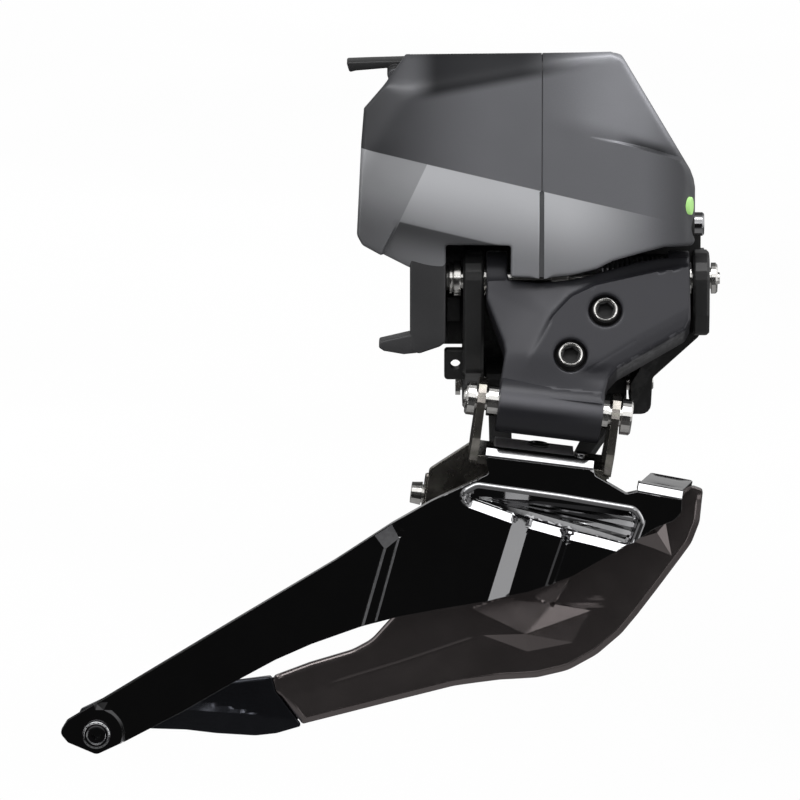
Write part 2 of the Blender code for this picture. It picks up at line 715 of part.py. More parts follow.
def outer_link():
    link = join(
        prism(rounded(LINK_SLAB, 3), -2.0, 3.8, link_place),
        prism(rounded(LINK_RAISED, 3), 2.0, 5.1, link_place),
        rod(PIVOT_B, AXIS_B, -8.2, 8.5, 4.8, 32),
        rod(PIVOT_A, AXIS_X, -11.8, -8.4, 4.4, 28),
        rod(PIVOT_A, AXIS_X, 17.2, 20.8, 4.4, 28),
    )
    link = cut(
        link,
        rod(PIVOT_A, AXIS_X, -8.3, 17.0, 4.3, 32),  # space between the upper barrels
        rod(PIVOT_A, AXIS_X, -14, 24, BORE_R, 24),
        rod(PIVOT_B, AXIS_B, -12, 12, BORE_R, 24),
        *[rod(link_place(x, down, 0), OUT, -4, 8, 2.6, 24)
          for x, down in LIMIT_SCREWS.values()],
    )
    piece(link, "outer_link", LINK, "link_grey")


def limit_screws():
    for label, (x, down) in LIMIT_SCREWS.items():
        place = link_place(x, down, 0)
        screw_body = body("limit_" + label, place, LINK)
        turned("limit_screw_" + label, screw_body, "steel", place, OUT, [
            (-2.6, 0), (-2.6, 1.2), (-1.0, 1.6), (3.6, 1.6), (3.6, 2.25), (4.6, 2.25),
            (4.6, 1.85), (5.35, 1.85), (5.5, 1.7), (5.5, 1.05), (3.9, 1.0), (3.9, 0),
        ])


def link_bushes():
    turned("upper_bush_rear", LINK, "steel", PIVOT_A, AXIS_X, [
        (-12.1, BUSH_IN), (-12.1, 2.9), (-11.95, 2.9), (-11.95, 2.6), (-8.5, 2.6),
        (-8.5, BUSH_IN),
    ])
    turned("upper_bush_front", LINK, "steel", PIVOT_A, AXIS_X,
           [(17.5, BUSH_IN), (17.5, 2.6), (21.1, 2.6), (21.1, BUSH_IN)])
    turned("lower_bush_rear", LINK, "steel", PIVOT_B, AXIS_B,
           [(-9.9, BUSH_IN), (-9.9, 2.5), (-8.5, 2.5), (-5.0, 2.6), (-5.0, BUSH_IN)])
    turned("lower_bush_front", LINK, "steel", PIVOT_B, AXIS_B,
           [(5.0, BUSH_IN), (5.0, 2.6), (8.8, 2.3), (9.55, 2.3), (9.55, BUSH_IN)])


def upper_pivot():
    turned("upper_pivot_pin", ROOT, "steel", PIVOT_A, AXIS_X, [
        (-18.1, 0), (-18.1, 1.3), (-17.7, PIN_R), (24.3, PIN_R), (24.3, 2.5), (25.0, 2.5),
        (25.3, 2.2), (25.3, 1.0), (25.7, 0.9), (25.7, 0),
    ])
    turned("upper_pivot_nut", ROOT, "steel", PIVOT_A, AXIS_X, [
        (-17.6, BUSH_IN), (-17.6, 2.5), (-17.0, 2.5), (-17.0, 2.95), (-16.4, 2.95),
        (-16.4, 2.4), (-15.8, 2.4), (-15.8, BUSH_IN),
    ])


def link_spring():
    spring = coil(PIVOT_A, AXIS_X, start=6.6, end=16.4, radius=3.25, wire=0.3,
                  turns=12, around=14, sides=5)
    piece(spring, "link_spring", ROOT, "spring_steel")


# ============================================================ inner link
# x, distance down the link
INNER_SLAB = [
    (-11.3, 0.0), (10.9, 0.0), (10.8, 5.0, 3.0), (3.4, 16.0, 2.0), (3.2, 22.3),
    (-10.4, 20.6), (-11.1, 10.0),
]
INNER_WINDOW = [(-7.5, 6.0, 2), (6.0, 6.0, 2), (1.0, 16.0, 1.5), (-7.5, 15.2, 2)]


def inner_link():
    link = join(
        prism(rounded(INNER_SLAB, 3), -2.1, 2.1, inner_link_place),
        rod(PIVOT_C, AXIS_X, -11.6, 11.2, 3.6, 24),
        rod(PIVOT_D, AXIS_B, -18.2, 5.6, 3.1, 24),
    )
    link = cut(
        link,
        rod(PIVOT_C, AXIS_X, -14, 14, INNER_BORE_R, 20),
        rod(PIVOT_D, AXIS_B, -22, 14, INNER_BORE_R, 20),
        prism(rounded(INNER_WINDOW), -5, 5, inner_link_place),
    )
    piece(link, "inner_link", INNER, "cast_black")


def inner_pins():
    turned("inner_upper_pin", ROOT, "steel", PIVOT_C, AXIS_X, [
        (-16.6, 0), (-16.6, 2.3), (-15.8, 2.3), (-15.8, INNER_PIN_R), (15.3, INNER_PIN_R),
        (15.6, 1.2), (15.6, 0),
    ], 20)
    turned("inner_lower_pin", CAGE, "steel", PIVOT_D, AXIS_B, [
        (-22.2, 0), (-22.2, 1.7), (-20.5, 1.9), (-20.5, INNER_PIN_R), (10.4, INNER_PIN_R),
        (10.7, 1.2), (10.7, 0),
    ], 20)


# ============================================================ cage bracket
D_SHIFT = (PIVOT_D - PIVOT_B).dot(AXIS_B)  # D's place along the lower pivot line
WALL_FROM_B = 10.6  # outboard face of the upright wall
BASE_FROM_B = -10.4  # underside of the base
FRONT_EAR_FROM_B = 9.95
REAR_B_EAR_FROM_B = -11.6
REAR_D_EAR_FROM_B = D_SHIFT - 20.2
WALL_REAR = D_SHIFT - 19.9
OUTER_SCREW = cage_place(-0.6, 5.0, 0)
INNER_SCREW = cage_place(-4.0, 0, -23.5)
# y, up, both from B
FRONT_EAR = [
    (-3.2, 3.2, 3.1), (3.4, 3.2, 3.0), (9.0, -5.0, 3.0), (19.6, -16.4, 3.0),
    (19.6, -23.4, 3.0), (12.5, -24.2, 1.0), (11.2, -24.2), (11.2, -10.1),
    (-0.3, -10.1, 0.8), (-3.2, -6.0, 2.0),
]
REAR_B_EAR = [
    (-3.2, 3.2, 3.1), (3.4, 3.2, 3.0), (9.8, -8.0, 1.0), (9.8, -10.1), (-0.3, -10.1, 0.8),
    (-3.2, -6.0, 2.0),
]
REAR_D_EAR = [
    (11.2, -15.3, 0.5), (14.0, -16.6, 1.0), (19.4, -17.0, 3.0), (19.4, -23.4, 3.0),
    (12.5, -24.0, 1.0), (11.2, -24.0),
]
# along the lower pivot line, y, both from B
BRACKET_BASE = [(-11.4, -0.25), (11.0, -0.25), (11.0, 11.5), (-11.4, 11.5)]
# along the lower pivot line, up, both from B
BRACKET_WALL = [
    (-11.2, -9.5), (10.9, -9.5), (10.9, -27.5, 2.0), (WALL_REAR, -24.6, 1.0),
    (WALL_REAR, -14.8, 1.0),
]


def sheet(points, start, place):
    """A prism one bracket sheet thick."""
    return prism(points, start, start + SHEET, place)


def outer_screw_hole():
    return rod(OUTER_SCREW, UP_B, -12, -4, CAGE_SCREW_BORE_R, 14)


def inner_screw_hole():
    return rod(INNER_SCREW, INBOARD, 5, 15, CAGE_SCREW_BORE_R, 14)


def cage_bracket():
    bracket = join(
        sheet(rounded(FRONT_EAR, 3), FRONT_EAR_FROM_B, cage_ear_place),
        sheet(BRACKET_BASE, BASE_FROM_B, cage_place),
        sheet(rounded(BRACKET_WALL, 3), WALL_FROM_B, cage_wall_place),
        sheet(rounded(REAR_B_EAR, 3), REAR_B_EAR_FROM_B, cage_ear_place),
        sheet(rounded(REAR_D_EAR, 3), REAR_D_EAR_FROM_B, cage_ear_place),
    )
    bracket = cut(
        bracket,
        rod(PIVOT_B, AXIS_B, -16, 16, BUSH_IN, 20),
        rod(PIVOT_D, AXIS_B, -26, 16, INNER_BORE_R, 20),
        outer_screw_hole(),
        inner_screw_hole(),
    )
    piece(bracket, "cage_bracket", CAGE, "bracket_steel")


def lower_pivot():
    turned("lower_pivot_pin", CAGE, "steel", PIVOT_B, AXIS_B, [
        (-13.8, 0), (-13.8, PIN_R - 0.3), (-13.5, PIN_R), (11.6, PIN_R), (11.6, 2.9),
        (13.0, 2.9), (13.3, 2.6), (13.3, 0),
    ])
    turned("lower_pivot_clip", CAGE, "steel", PIVOT_B, AXIS_B,
           [(-13.4, BUSH_IN), (-13.4, 2.4), (-13.1, 2.7), (-11.9, 2.7), (-11.9, BUSH_IN)])


# ============================================================ cage plates
# x, z
OUTER_PLATE = [
    (-10.2, -27.6, 0.4), (-10.5, -28.9, 1.0), (-20.6, -33.4, 3.0), (-29.8, -39.2),
    (-35.8, -43.0), (-52.2, -53.0), (-79.1, -69.6, 1.2), (-80.3, -71.6, 1.0),
    (-79.0, -73.2, 0.8), (-74.4, -75.2, 1.2), (-70.6, -73.4), (-60.3, -67.9),
    (-52.5, -63.3), (-45.6, -59.5), (-39.8, -56.9), (-31.5, -53.9, 4.0), (-26.0, -52.4),
    (-19.2, -51.1), (-11.5, -49.8), (-4.8, -48.4, 4.0), (1.8, -46.0), (12.0, -40.0, 1.0),
    (15.0, -37.9, 1.5), (18.3, -36.5, 1.2), (19.3, -35.2, 1.0), (19.8, -32.6),
    (12.4, -31.4), (10.6, -32.2, 0.6), (5.4, -28.9, 0.4), (5.3, -28.0),
]
OUTER_SLOT = [
    (-15.6, -32.3, 0.8), (-13.6, -30.9, 1.2), (0.0, -32.6), (11.4, -34.6, 1.2),
    (12.4, -36.6, 1.0), (10.2, -40.4, 1.0), (1.6, -39.4), (-5.0, -37.5),
    (-13.3, -34.5, 1.5),
]
TAB_WEB = [(12.4, -30.9), (19.7, -32.3), (19.7, -34.0), (12.4, -34.0)]
INNER_PLATE = [
    (21.6, -33.4, 0.5), (23.2, -34.0, 0.5), (22.7, -39.3, 2.0), (21.4, -42.8),
    (19.7, -45.2), (16.0, -50.3), (12.8, -54.6), (10.2, -57.8), (6.2, -61.3),
    (1.6, -63.9), (-3.4, -65.1), (-9.3, -65.5), (-17.0, -66.7), (-25.6, -68.9),
    (-41.4, -73.0, 0.5), (-45.6, -67.4), (-46.2, -65.0, 0.4), (-40.2, -62.7),
    (-33.3, -60.6, 2.0), (-30.2, -58.9), (-26.4, -54.6), (-21.0, -46.5, 3.0),
    (-15.0, -36.5, 3.0), (-12.0, -33.4, 1.0), (10.6, -35.9), (14.5, -34.0), (20.0, -34.2),
]
INNER_TAIL = [
    (-46.9, -64.8, 0.3), (-46.3, -67.3), (-42.0, -73.3, 0.3), (-45.6, -74.4, 1.0),
    (-49.0, -74.8), (-55.4, -74.4), (-60.3, -73.8), (-66.9, -73.6), (-73.8, -74.6, 1.0),
    (-77.2, -73.2, 1.0), (-77.6, -70.6, 1.0), (-71.0, -67.4, 1.0), (-60.0, -66.0),
    (-52.5, -65.5),
]
# along the lower pivot line, y, both from B
TOP_FLANGE = [(-9.9, -2.1), (7.3, -2.1), (7.3, 8.1), (-9.9, 8.1)]
# along the lower pivot line, up, both from B
FLANGE_WEB = [(-9.9, -7.4), (7.3, -7.4), (7.3, -10.5), (-9.9, -10.5)]
# along the tab's slope, inboard
FRONT_TAB = [(0.2, 0.0), (7.6, 0.0), (9.6, 10.4), (2.4, 10.4)]
TAB_ORIGIN = Vector((12.2, OUTER_Y[0], -31.0))
TAB_SLOPE = Vector((0.982, 0.0, -0.187)).normalized()


def tab_place(along, inboard, up):
    return TAB_ORIGIN + TAB_SLOPE * along + INBOARD * inboard + TAB_SLOPE.cross(INBOARD) * up


def outer_plate():
    plate = join(
        prism(rounded(OUTER_PLATE, 3), *OUTER_Y),
        prism(TOP_FLANGE, -8.7, -7.4, cage_place),
        prism(FLANGE_WEB, -2.1, -0.6, cage_wall_place),
        prism(FRONT_TAB, -SHEET, 0.0, tab_place),
        prism(TAB_WEB, *OUTER_Y),
    )
    plate = cut(
        plate,
        prism(rounded(OUTER_SLOT, 3), OUTER_Y[0] - 3, OUTER_Y[1] + 3),
        rod(TAIL_SCREW, INBOARD, -16, -9, TAIL_BORE_R, 18),
        outer_screw_hole(),
    )
    piece(plate, "outer_plate", CAGE, "cage_black")


def inner_plate():
    plate = cut(prism(rounded(INNER_PLATE, 3), *INNER_Y), inner_screw_hole())
    piece(plate, "inner_plate", CAGE, "cage_brown")


def inner_tail():
    tail = prism(rounded(INNER_TAIL, 3), *INNER_Y)
    tail = cut(tail, rod(TAIL_SCREW, INBOARD, -5, 3, TAIL_BORE_R, 18))
    piece(tail, "inner_tail", CAGE, "tail_blue_black")


def cage_fasteners():
    turned("tail_screw", CAGE, "cage_black", TAIL_SCREW, INBOARD, [
        (0.4, 0), (0.4, 1.0), (0.2, 1.2), (-13.3, 1.2), (-13.3, 2.3), (-13.9, 2.3),
        (-14.2, 2.0), (-14.2, 1.1), (-13.4, 1.1), (-13.4, 0),
    ], 20)
    spacer = tube(TAIL_SCREW, INBOARD, -11.2, -2.5, TAIL_BORE_R, 2.5, 20)
    piece(spacer, "tail_spacer", CAGE, "cage_black")
    turned("cage_screw_outer", CAGE, "steel", OUTER_SCREW, UP_B, [
        (-11.6, 0), (-11.6, 1.0), (-7.1, 1.0), (-7.1, 1.7), (-6.1, 1.5), (-6.1, 0.8),
        (-6.7, 0.8), (-6.7, 0),
    ], 16)
    turned("cage_screw_inner", CAGE, "steel", INNER_SCREW, INBOARD,
           [(7.9, 0), (7.9, 1.7), (8.4, 1.7), (8.4, 1.0), (13.4, 1.0), (13.4, 0)], 16)


for build in (
    mount_body, mounting_hardware,
    housing_rear, housing_front, housing_seal, housing_screws, lens_and_button,
    battery_cradle, battery_contacts, battery_latch,
    drive_motor, circuit_board, gear_train, gear_plate,
    outer_link, limit_screws, link_bushes, upper_pivot, link_spring,
    inner_link, inner_pins,
    cage_bracket, lower_pivot, outer_plate, inner_plate, inner_tail, cage_fasteners,
):
    build()
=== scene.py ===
"""Looks of the front derailleur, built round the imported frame.

Dimensions are millimetres in the pivot frame, whose origin lies on the upper
pivot line; at() carries them into the row frame (metres).
"""

import math

import bmesh
import bpy
import numpy as np
from mathutils import Matrix, Vector
from mathutils.geometry import delaunay_2d_cdt


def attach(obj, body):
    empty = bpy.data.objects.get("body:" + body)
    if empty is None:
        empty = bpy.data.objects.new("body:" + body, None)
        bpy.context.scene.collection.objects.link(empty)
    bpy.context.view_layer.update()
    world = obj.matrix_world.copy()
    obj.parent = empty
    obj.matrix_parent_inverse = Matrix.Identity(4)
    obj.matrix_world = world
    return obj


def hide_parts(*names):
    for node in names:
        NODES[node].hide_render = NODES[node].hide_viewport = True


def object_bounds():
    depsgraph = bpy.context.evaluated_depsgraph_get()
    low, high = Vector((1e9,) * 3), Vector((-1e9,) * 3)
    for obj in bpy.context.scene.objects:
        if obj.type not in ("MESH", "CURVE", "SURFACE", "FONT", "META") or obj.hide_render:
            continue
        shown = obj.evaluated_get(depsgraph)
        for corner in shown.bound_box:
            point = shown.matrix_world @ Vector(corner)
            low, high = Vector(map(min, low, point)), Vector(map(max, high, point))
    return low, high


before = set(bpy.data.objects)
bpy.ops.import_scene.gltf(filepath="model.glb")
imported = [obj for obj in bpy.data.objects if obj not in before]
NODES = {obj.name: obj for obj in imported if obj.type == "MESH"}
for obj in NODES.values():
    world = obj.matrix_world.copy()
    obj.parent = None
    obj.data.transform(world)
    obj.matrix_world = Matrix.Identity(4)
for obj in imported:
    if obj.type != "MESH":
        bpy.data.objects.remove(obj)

CAD_LO, CAD_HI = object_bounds()

PAD = np.array((3.0, 24.0, -12.0))
A = np.array((0.0, 0.0, 0.4))
B = np.array((-1.8, -10.9, -18.5))
C = np.array((0.0, 16.0, -19.8))
D = np.array((-1.8, 5.1, -38.7))
PITCH = math.radians(7.2)
AXIS_X = np.array((1.0, 0.0, 0.0))
INBOARD = np.array((0.0, 1.0, 0.0))
AXIS_B = np.array((math.cos(PITCH), 0.0, -math.sin(PITCH)))
UP_B = np.array((math.sin(PITCH), 0.0, math.cos(PITCH)))
DOWN = np.array((0.0, B[1] - A[1], B[2] - A[2]))
LINK_LEN = float(np.linalg.norm(DOWN))
DOWN = DOWN / LINK_LEN
OUT = np.array((0.0, DOWN[2], -DOWN[1]))


def at(points):
    return (np.asarray(points, float) - PAD) * 0.001


# ------------------------------------------------------------------ 2-D helpers
def rounded(corners, segments=6):
    """(a, b) or (a, b, radius) corners to a polygon with arcs."""
    out = []
    n = len(corners)
    for i, corner in enumerate(corners):
        here = np.array(corner[:2], float)
        radius = corner[2] if len(corner) > 2 else 0.0
        if radius <= 0:
            out.append(here)
            continue
        back = np.array(corners[i - 1][:2], float) - here
        ahead = np.array(corners[(i + 1) % n][:2], float) - here
        lb, la = np.linalg.norm(back), np.linalg.norm(ahead)
        back, ahead = back / lb, ahead / la
        half = math.acos(max(-1, min(1, float(back @ ahead)))) / 2
        reach = min(radius / math.tan(half), 0.48 * lb, 0.48 * la)
        radius = reach * math.tan(half)
        mid = back + ahead
        mid /= np.linalg.norm(mid)
        centre = here + mid * (radius / math.sin(half))
        a0 = here + back * reach - centre
        a1 = here + ahead * reach - centre
        t0 = math.atan2(a0[1], a0[0])
        turn = math.atan2(a1[1], a1[0]) - t0
        turn = (turn + math.pi) % (2 * math.pi) - math.pi
        for k in range(segments + 1):
            t = t0 + turn * k / segments
            out.append(centre + radius * np.array((math.cos(t), math.sin(t))))
    return np.array(out)


def circle(x, z, r, n=40):
    t = np.arange(n) * 2 * math.pi / n
    return np.stack((x + r * np.cos(t), z + r * np.sin(t)), 1)


def resample(poly, step, closed=True):
    pts = [np.array(p[:2], float) for p in poly]
    out = []
    count = len(pts) if closed else len(pts) - 1
    for i in range(count):
        p, q = pts[i], pts[(i + 1) % len(pts)]
        n = max(1, int(math.ceil(np.linalg.norm(q - p) / step - 1e-6)))
        for k in range(n):
            out.append(p + (q - p) * k / n)
    if not closed:
        out.append(pts[-1])
    return np.array(out)


def area(poly):
    x, z = poly[:, 0], poly[:, 1]
    return 0.5 * float(np.sum(x * np.roll(z, -1) - np.roll(x, -1) * z))


def inside(poly, pts):
    x, z = pts[:, 0], pts[:, 1]
    hit = np.zeros(len(pts), bool)
    for (x0, z0), (x1, z1) in zip(poly, np.roll(poly, -1, 0)):
        if z0 == z1:
            continue
        cross = (z0 > z) != (z1 > z)
        xi = x0 + (z - z0) * (x1 - x0) / (z1 - z0)
        hit ^= cross & (x < xi)
    return hit


def reach(pts, line, closed=True):
    """Distance of each point from a polyline."""
    best = np.full(len(pts), 1e9)
    a = np.asarray(line, float)
    b = np.roll(a, -1, 0)
    if not closed:
        a, b = a[:-1], b[:-1]
    for p, q in zip(a, b):
        d = q - p
        t = np.clip(((pts - p) @ d) / max(float(d @ d), 1e-12), 0, 1)
        best = np.minimum(best, np.linalg.norm(pts - p - t[:, None] * d, axis=1))
    return best


def side_of(pts, line):
    """Signed distance from an open polyline, positive on its left, and the share along it."""
    a = np.asarray(line, float)
    seg = a[1:] - a[:-1]
    lens = np.linalg.norm(seg, axis=1)
    start = np.concatenate(([0], np.cumsum(lens)))
    best = np.full(len(pts), 1e9)
    sign = np.zeros(len(pts))
    share = np.zeros(len(pts))
    for i, (p, d) in enumerate(zip(a[:-1], seg)):
        raw = ((pts - p) @ d) / float(d @ d)
        t = np.clip(raw, 0, 1)
        away = pts - p - t[:, None] * d
        dist = np.linalg.norm(away, axis=1)
        cross = d[0] * (pts[:, 1] - p[1]) - d[1] * (pts[:, 0] - p[0])
        better = dist < best - 1e-9
        best = np.where(better, dist, best)
        sign = np.where(better, np.sign(cross), sign)
        share = np.where(better, (start[i] + t * lens[i]) / start[-1], share)
    return best * sign, share


def shifted(line, d):
    """The polyline moved d to its left."""
    line = np.asarray(line, float)
    seg = line[1:] - line[:-1]
    seg /= np.linalg.norm(seg, axis=1)[:, None]
    left = np.stack((-seg[:, 1], seg[:, 0]), 1)
    at_v = np.concatenate((left[:1], left[1:] + left[:-1], left[-1:]))
    at_v /= np.linalg.norm(at_v, axis=1)[:, None]
    return [tuple(p) for p in line + at_v * d]


def offset_loop(poly, d, step=0.5):
    """The closed loop moved d outwards, cleaned where it folds."""
    loop = resample(poly, step)
    if area(loop) < 0:
        loop = loop[::-1]
    tan = np.roll(loop, -1, 0) - np.roll(loop, 1, 0)
    tan /= np.maximum(np.linalg.norm(tan, axis=1), 1e-9)[:, None]
    moved = loop + np.stack((tan[:, 1], -tan[:, 0]), 1) * d
    keep = reach(moved, loop) > abs(d) * 0.97 - 1e-6
    keep |= abs(d) < 1e-9
    moved = moved[keep]
    return [tuple(p) for p in np.concatenate((moved, moved[:1]))]


def smax(a, b, k):
    h = np.maximum(k - np.abs(a - b), 0) / k
    return np.maximum(a, b) + h * h * k / 4


def smin(a, b, k):
    return -smax(-a, -b, k)


def step_up(x, lo, hi):
    t = np.clip((x - lo) / (hi - lo), 0, 1)
    return t * t * (3 - 2 * t)


def fillet(d, r):
    if r <= 0:
        return np.zeros_like(d)
    c = np.clip(r - d, 0, r)
    return r - np.sqrt(np.maximum(r * r - c * c, 0))


# ------------------------------------------------------------------ mesh helpers
def new_mesh(name, verts, faces, smooth=35.0):
    mesh = bpy.data.meshes.new(name)
    mesh.from_pydata([tuple(v) for v in verts], [], [tuple(f) for f in faces])
    bm = bmesh.new()
    bm.from_mesh(mesh)
    bmesh.ops.remove_doubles(bm, verts=bm.verts, dist=1e-8)
    bmesh.ops.dissolve_degenerate(bm, edges=bm.edges, dist=1e-8)
    bmesh.ops.recalc_face_normals(bm, faces=bm.faces)
    bm.to_mesh(mesh)
    bm.free()
    obj = bpy.data.objects.new(name, mesh)
    bpy.context.scene.collection.objects.link(obj)
    shade(obj, smooth)
    return obj


def shade(obj, angle=35.0):
    obj.data.shade_smooth()
    obj.data.set_sharp_from_angle(angle=math.radians(angle))
    return obj


def join(name, *parts, smooth=None):
    """Several closed meshes as one object."""
    bm = bmesh.new()
    for part in parts:
        bm.from_mesh(part.data)
        bpy.data.objects.remove(part, do_unlink=True)
    mesh = bpy.data.meshes.new(name)
    bm.to_mesh(mesh)
    bm.free()
    obj = bpy.data.objects.new(name, mesh)
    bpy.context.scene.collection.objects.link(obj)
    return obj if smooth is None else shade(obj, smooth)


def combine(shape, operation, *tools, smooth=35.0):
    for tool in tools:
        mod = shape.modifiers.new("op", "BOOLEAN")
        mod.operation = operation
        mod.solver = "EXACT"
        mod.object = tool
        graph = bpy.context.evaluated_depsgraph_get()
        mesh = bpy.data.meshes.new_from_object(shape.evaluated_get(graph))
        shape.modifiers.clear()
        shape.data = mesh
        bpy.data.objects.remove(tool, do_unlink=True)
    return shade(shape, smooth)


def cut(shape, *tools, smooth=35.0):
    return combine(shape, "DIFFERENCE", *tools, smooth=smooth)


def union(shape, *tools, smooth=35.0):
    return combine(shape, "UNION", *tools, smooth=smooth)


XZ = lambda a, b, y: np.stack((a, y, b), 1)


def plane_place(origin, u, v, w):
    """a along u, b along v, height along w."""
    o, u, v, w = (np.asarray(k, float) for k in (origin, u, v, w))
    return lambda a, b, h: o + np.outer(a, u) + np.outer(b, v) + np.outer(h, w)


def relief(name, outline, front, back, holes=(), lines=(), step=0.8, edge=0.45, rf=0.4, rb=0.3,
           place=XZ, thick=None, back_thick=None, r_thick=0.6, rings=4, fine=(), smooth=35.0, outset=None):
    """A closed solid between two height fields over a polygon.

    front and back take (N, 2) points and return heights; the front is on the
    side of lower heights. holes are polygons, lines are crease polylines the mesh
    follows, rf and rb round the rims. Inside the polygon thick, back_thick gives
    the back. fine lists (polygon, step) areas with a denser net.
    """
    outline = resample(outline, edge)
    if area(outline) < 0:
        outline = outline[::-1]
    holes = [resample(h, min(edge, 0.35)) for h in holes]
    loops = [outline] + holes
    pts, edges = [], []

    def add_loop(loop, closed=True):
        base = len(pts)
        pts.extend(Vector(p) for p in loop)
        n = len(loop)
        for i in range(n if closed else n - 1):
            edges.append((base + i, base + (i + 1) % n))

    for loop in loops:
        add_loop(loop)
    if thick is not None:
        add_loop(resample(thick, edge))
    for line in lines:
        add_loop(resample(line, edge, False), False)

    extra = []
    r_big = max(rf, rb)
    for loop in loops:
        nxt, prv = np.roll(loop, -1, 0), np.roll(loop, 1, 0)
        tan = nxt - prv
        tan /= np.maximum(np.linalg.norm(tan, axis=1), 1e-9)[:, None]
        normal = np.stack((-tan[:, 1], tan[:, 0]), 1)
        if loop is not outline and area(loop) > 0:
            normal = -normal
        for k in range(1, rings + 1):
            d = r_big * (1 - math.cos(math.pi / 2 * k / rings))
            ring = loop + normal * d
            keep = reach(ring, outline) > d * 0.93
            for h in holes:
                keep &= reach(ring, h) > d * 0.93
            extra.append(ring[keep])
    lo, hi = outline.min(0), outline.max(0)

    def grid(lo, hi, s):
        nx, nz = max(2, int((hi[0] - lo[0]) / s)), max(2, int((hi[1] - lo[1]) / s))
        gx = lo[0] + (np.arange(nx) + 0.5) * (hi[0] - lo[0]) / nx
        gz = lo[1] + (np.arange(nz) + 0.5) * (hi[1] - lo[1]) / nz
        g = np.stack(np.meshgrid(gx, gz), -1).reshape(-1, 2)
        g[:, 0] += 0.25 * s * ((np.round((g[:, 1] - lo[1]) / s).astype(int) % 2) * 2 - 1)
        return g

    net = grid(lo, hi, step)
    for poly, s in fine:
        poly = np.asarray(poly, float)
        net = net[~inside(poly, net)]
        g = grid(poly.min(0), poly.max(0), s)
        net = np.concatenate((net, g[inside(poly, g)]))
    ok = inside(outline, net) & (reach(net, outline) > r_big + 0.12)
    for h in holes:
        ok &= ~inside(h, net) & (reach(net, h) > r_big + 0.12)
    for line in lines:
        ok &= reach(net, np.asarray(line, float)[:, :2], False) > 0.10
    if thick is not None:
        ok &= reach(net, np.asarray(thick, float)[:, :2]) > 0.10
    extra.append(net[ok])
    extra = np.concatenate(extra)
    extra = extra[inside(outline, extra)]
    pts.extend(Vector(p) for p in extra)

    verts, _, faces, _, _, _ = delaunay_2d_cdt(pts, edges, [], 0, 1e-5)
    xy = np.array([(v.x, v.y) for v in verts])
    tri = np.array([f for f in faces if len(f) == 3])
    mid = xy[tri].mean(1)
    ok = inside(outline, mid)
    for h in holes:
        ok &= ~inside(h, mid)
    tri = tri[ok]
    used = np.unique(tri)
    d_out = reach(xy, outline)
    d_all = d_out.copy()
    for h in holes:
        d_all = np.minimum(d_all, reach(xy, h))
    rf_here = rf if outset is None else outset(xy) * rf
    if outset is None:
        fy = front(xy) + fillet(d_all, rf)
    else:
        r = np.maximum(rf_here, 1e-4)
        c = np.clip(r - d_all, 0, r)
        fy = front(xy) + r - np.sqrt(np.maximum(r * r - c * c, 0))
    by = back(xy) - fillet(d_all, rb)
    by = np.maximum(by, fy + 0.02)
    n = len(xy)
    P = [place(xy[:, 0], xy[:, 1], fy), place(xy[:, 0], xy[:, 1], by)]
    is_thick = np.zeros(len(tri), bool)
    if thick is not None:
        tp = np.asarray(thick, float)[:, :2]
        is_thick = inside(tp, mid[ok])
        d_t = np.minimum(reach(xy, tp), d_all)
        ty = back_thick(xy) - fillet(d_t, r_thick)
        ty = np.maximum(ty, fy + 0.02)
        P.append(place(xy[:, 0], xy[:, 1], ty))
    V = np.concatenate(P)
    F = [tuple(t) for t in tri]
    owner = {}
    for i, t in enumerate(tri):
        layer = 2 if is_thick[i] else 1
        F.append((t[2] + layer * n, t[1] + layer * n, t[0] + layer * n))
        for a, b in ((t[0], t[1]), (t[1], t[2]), (t[2], t[0])):
            owner.setdefault((min(a, b), max(a, b)), []).append((a, b, layer))
    for users in owner.values():
        if len(users) == 1:
            a, b, layer = users[0]
            F.append((b, a, a + layer * n, b + layer * n))
        elif users[0][2] != users[1][2]:
            a, b, layer = users[0]
            other = users[1][2]
            F.append((b + layer * n, a + layer * n, a + other * n, b + other * n))
    remap = np.full(len(V), -1)
    keep = np.unique(np.concatenate([np.asarray(f) for f in F]))
    remap[keep] = np.arange(len(keep))
    obj = new_mesh(name, at(V[keep]), [tuple(remap[list(f)]) for f in F], smooth)
    return obj


def prism(points, low, high, place=None, name="shape"):
    pts = np.asarray(points, float)[:, :2]
    place = place or XZ
    n = len(pts)
    v = np.concatenate((place(pts[:, 0], pts[:, 1], np.full(n, low)), place(pts[:, 0], pts[:, 1], np.full(n, high))))
    f = [tuple(range(n)), tuple(range(2 * n - 1, n - 1, -1))]
    f += [(i, (i + 1) % n, (i + 1) % n + n, i + n) for i in range(n)]
    return new_mesh(name, at(v), f)


def soft_prism(name, points, low, high, place=None, r=0.3, n=3, edge=0.8, smooth=40.0):
    """An extruded outline with rounded rims."""
    lo_h, hi_h = float(low), float(high)
    return relief(name, points, lambda p: np.full(len(p), lo_h), lambda p: np.full(len(p), hi_h),
                  step=50.0, edge=edge, rf=r, rb=r, rings=n, place=place or XZ, smooth=smooth)


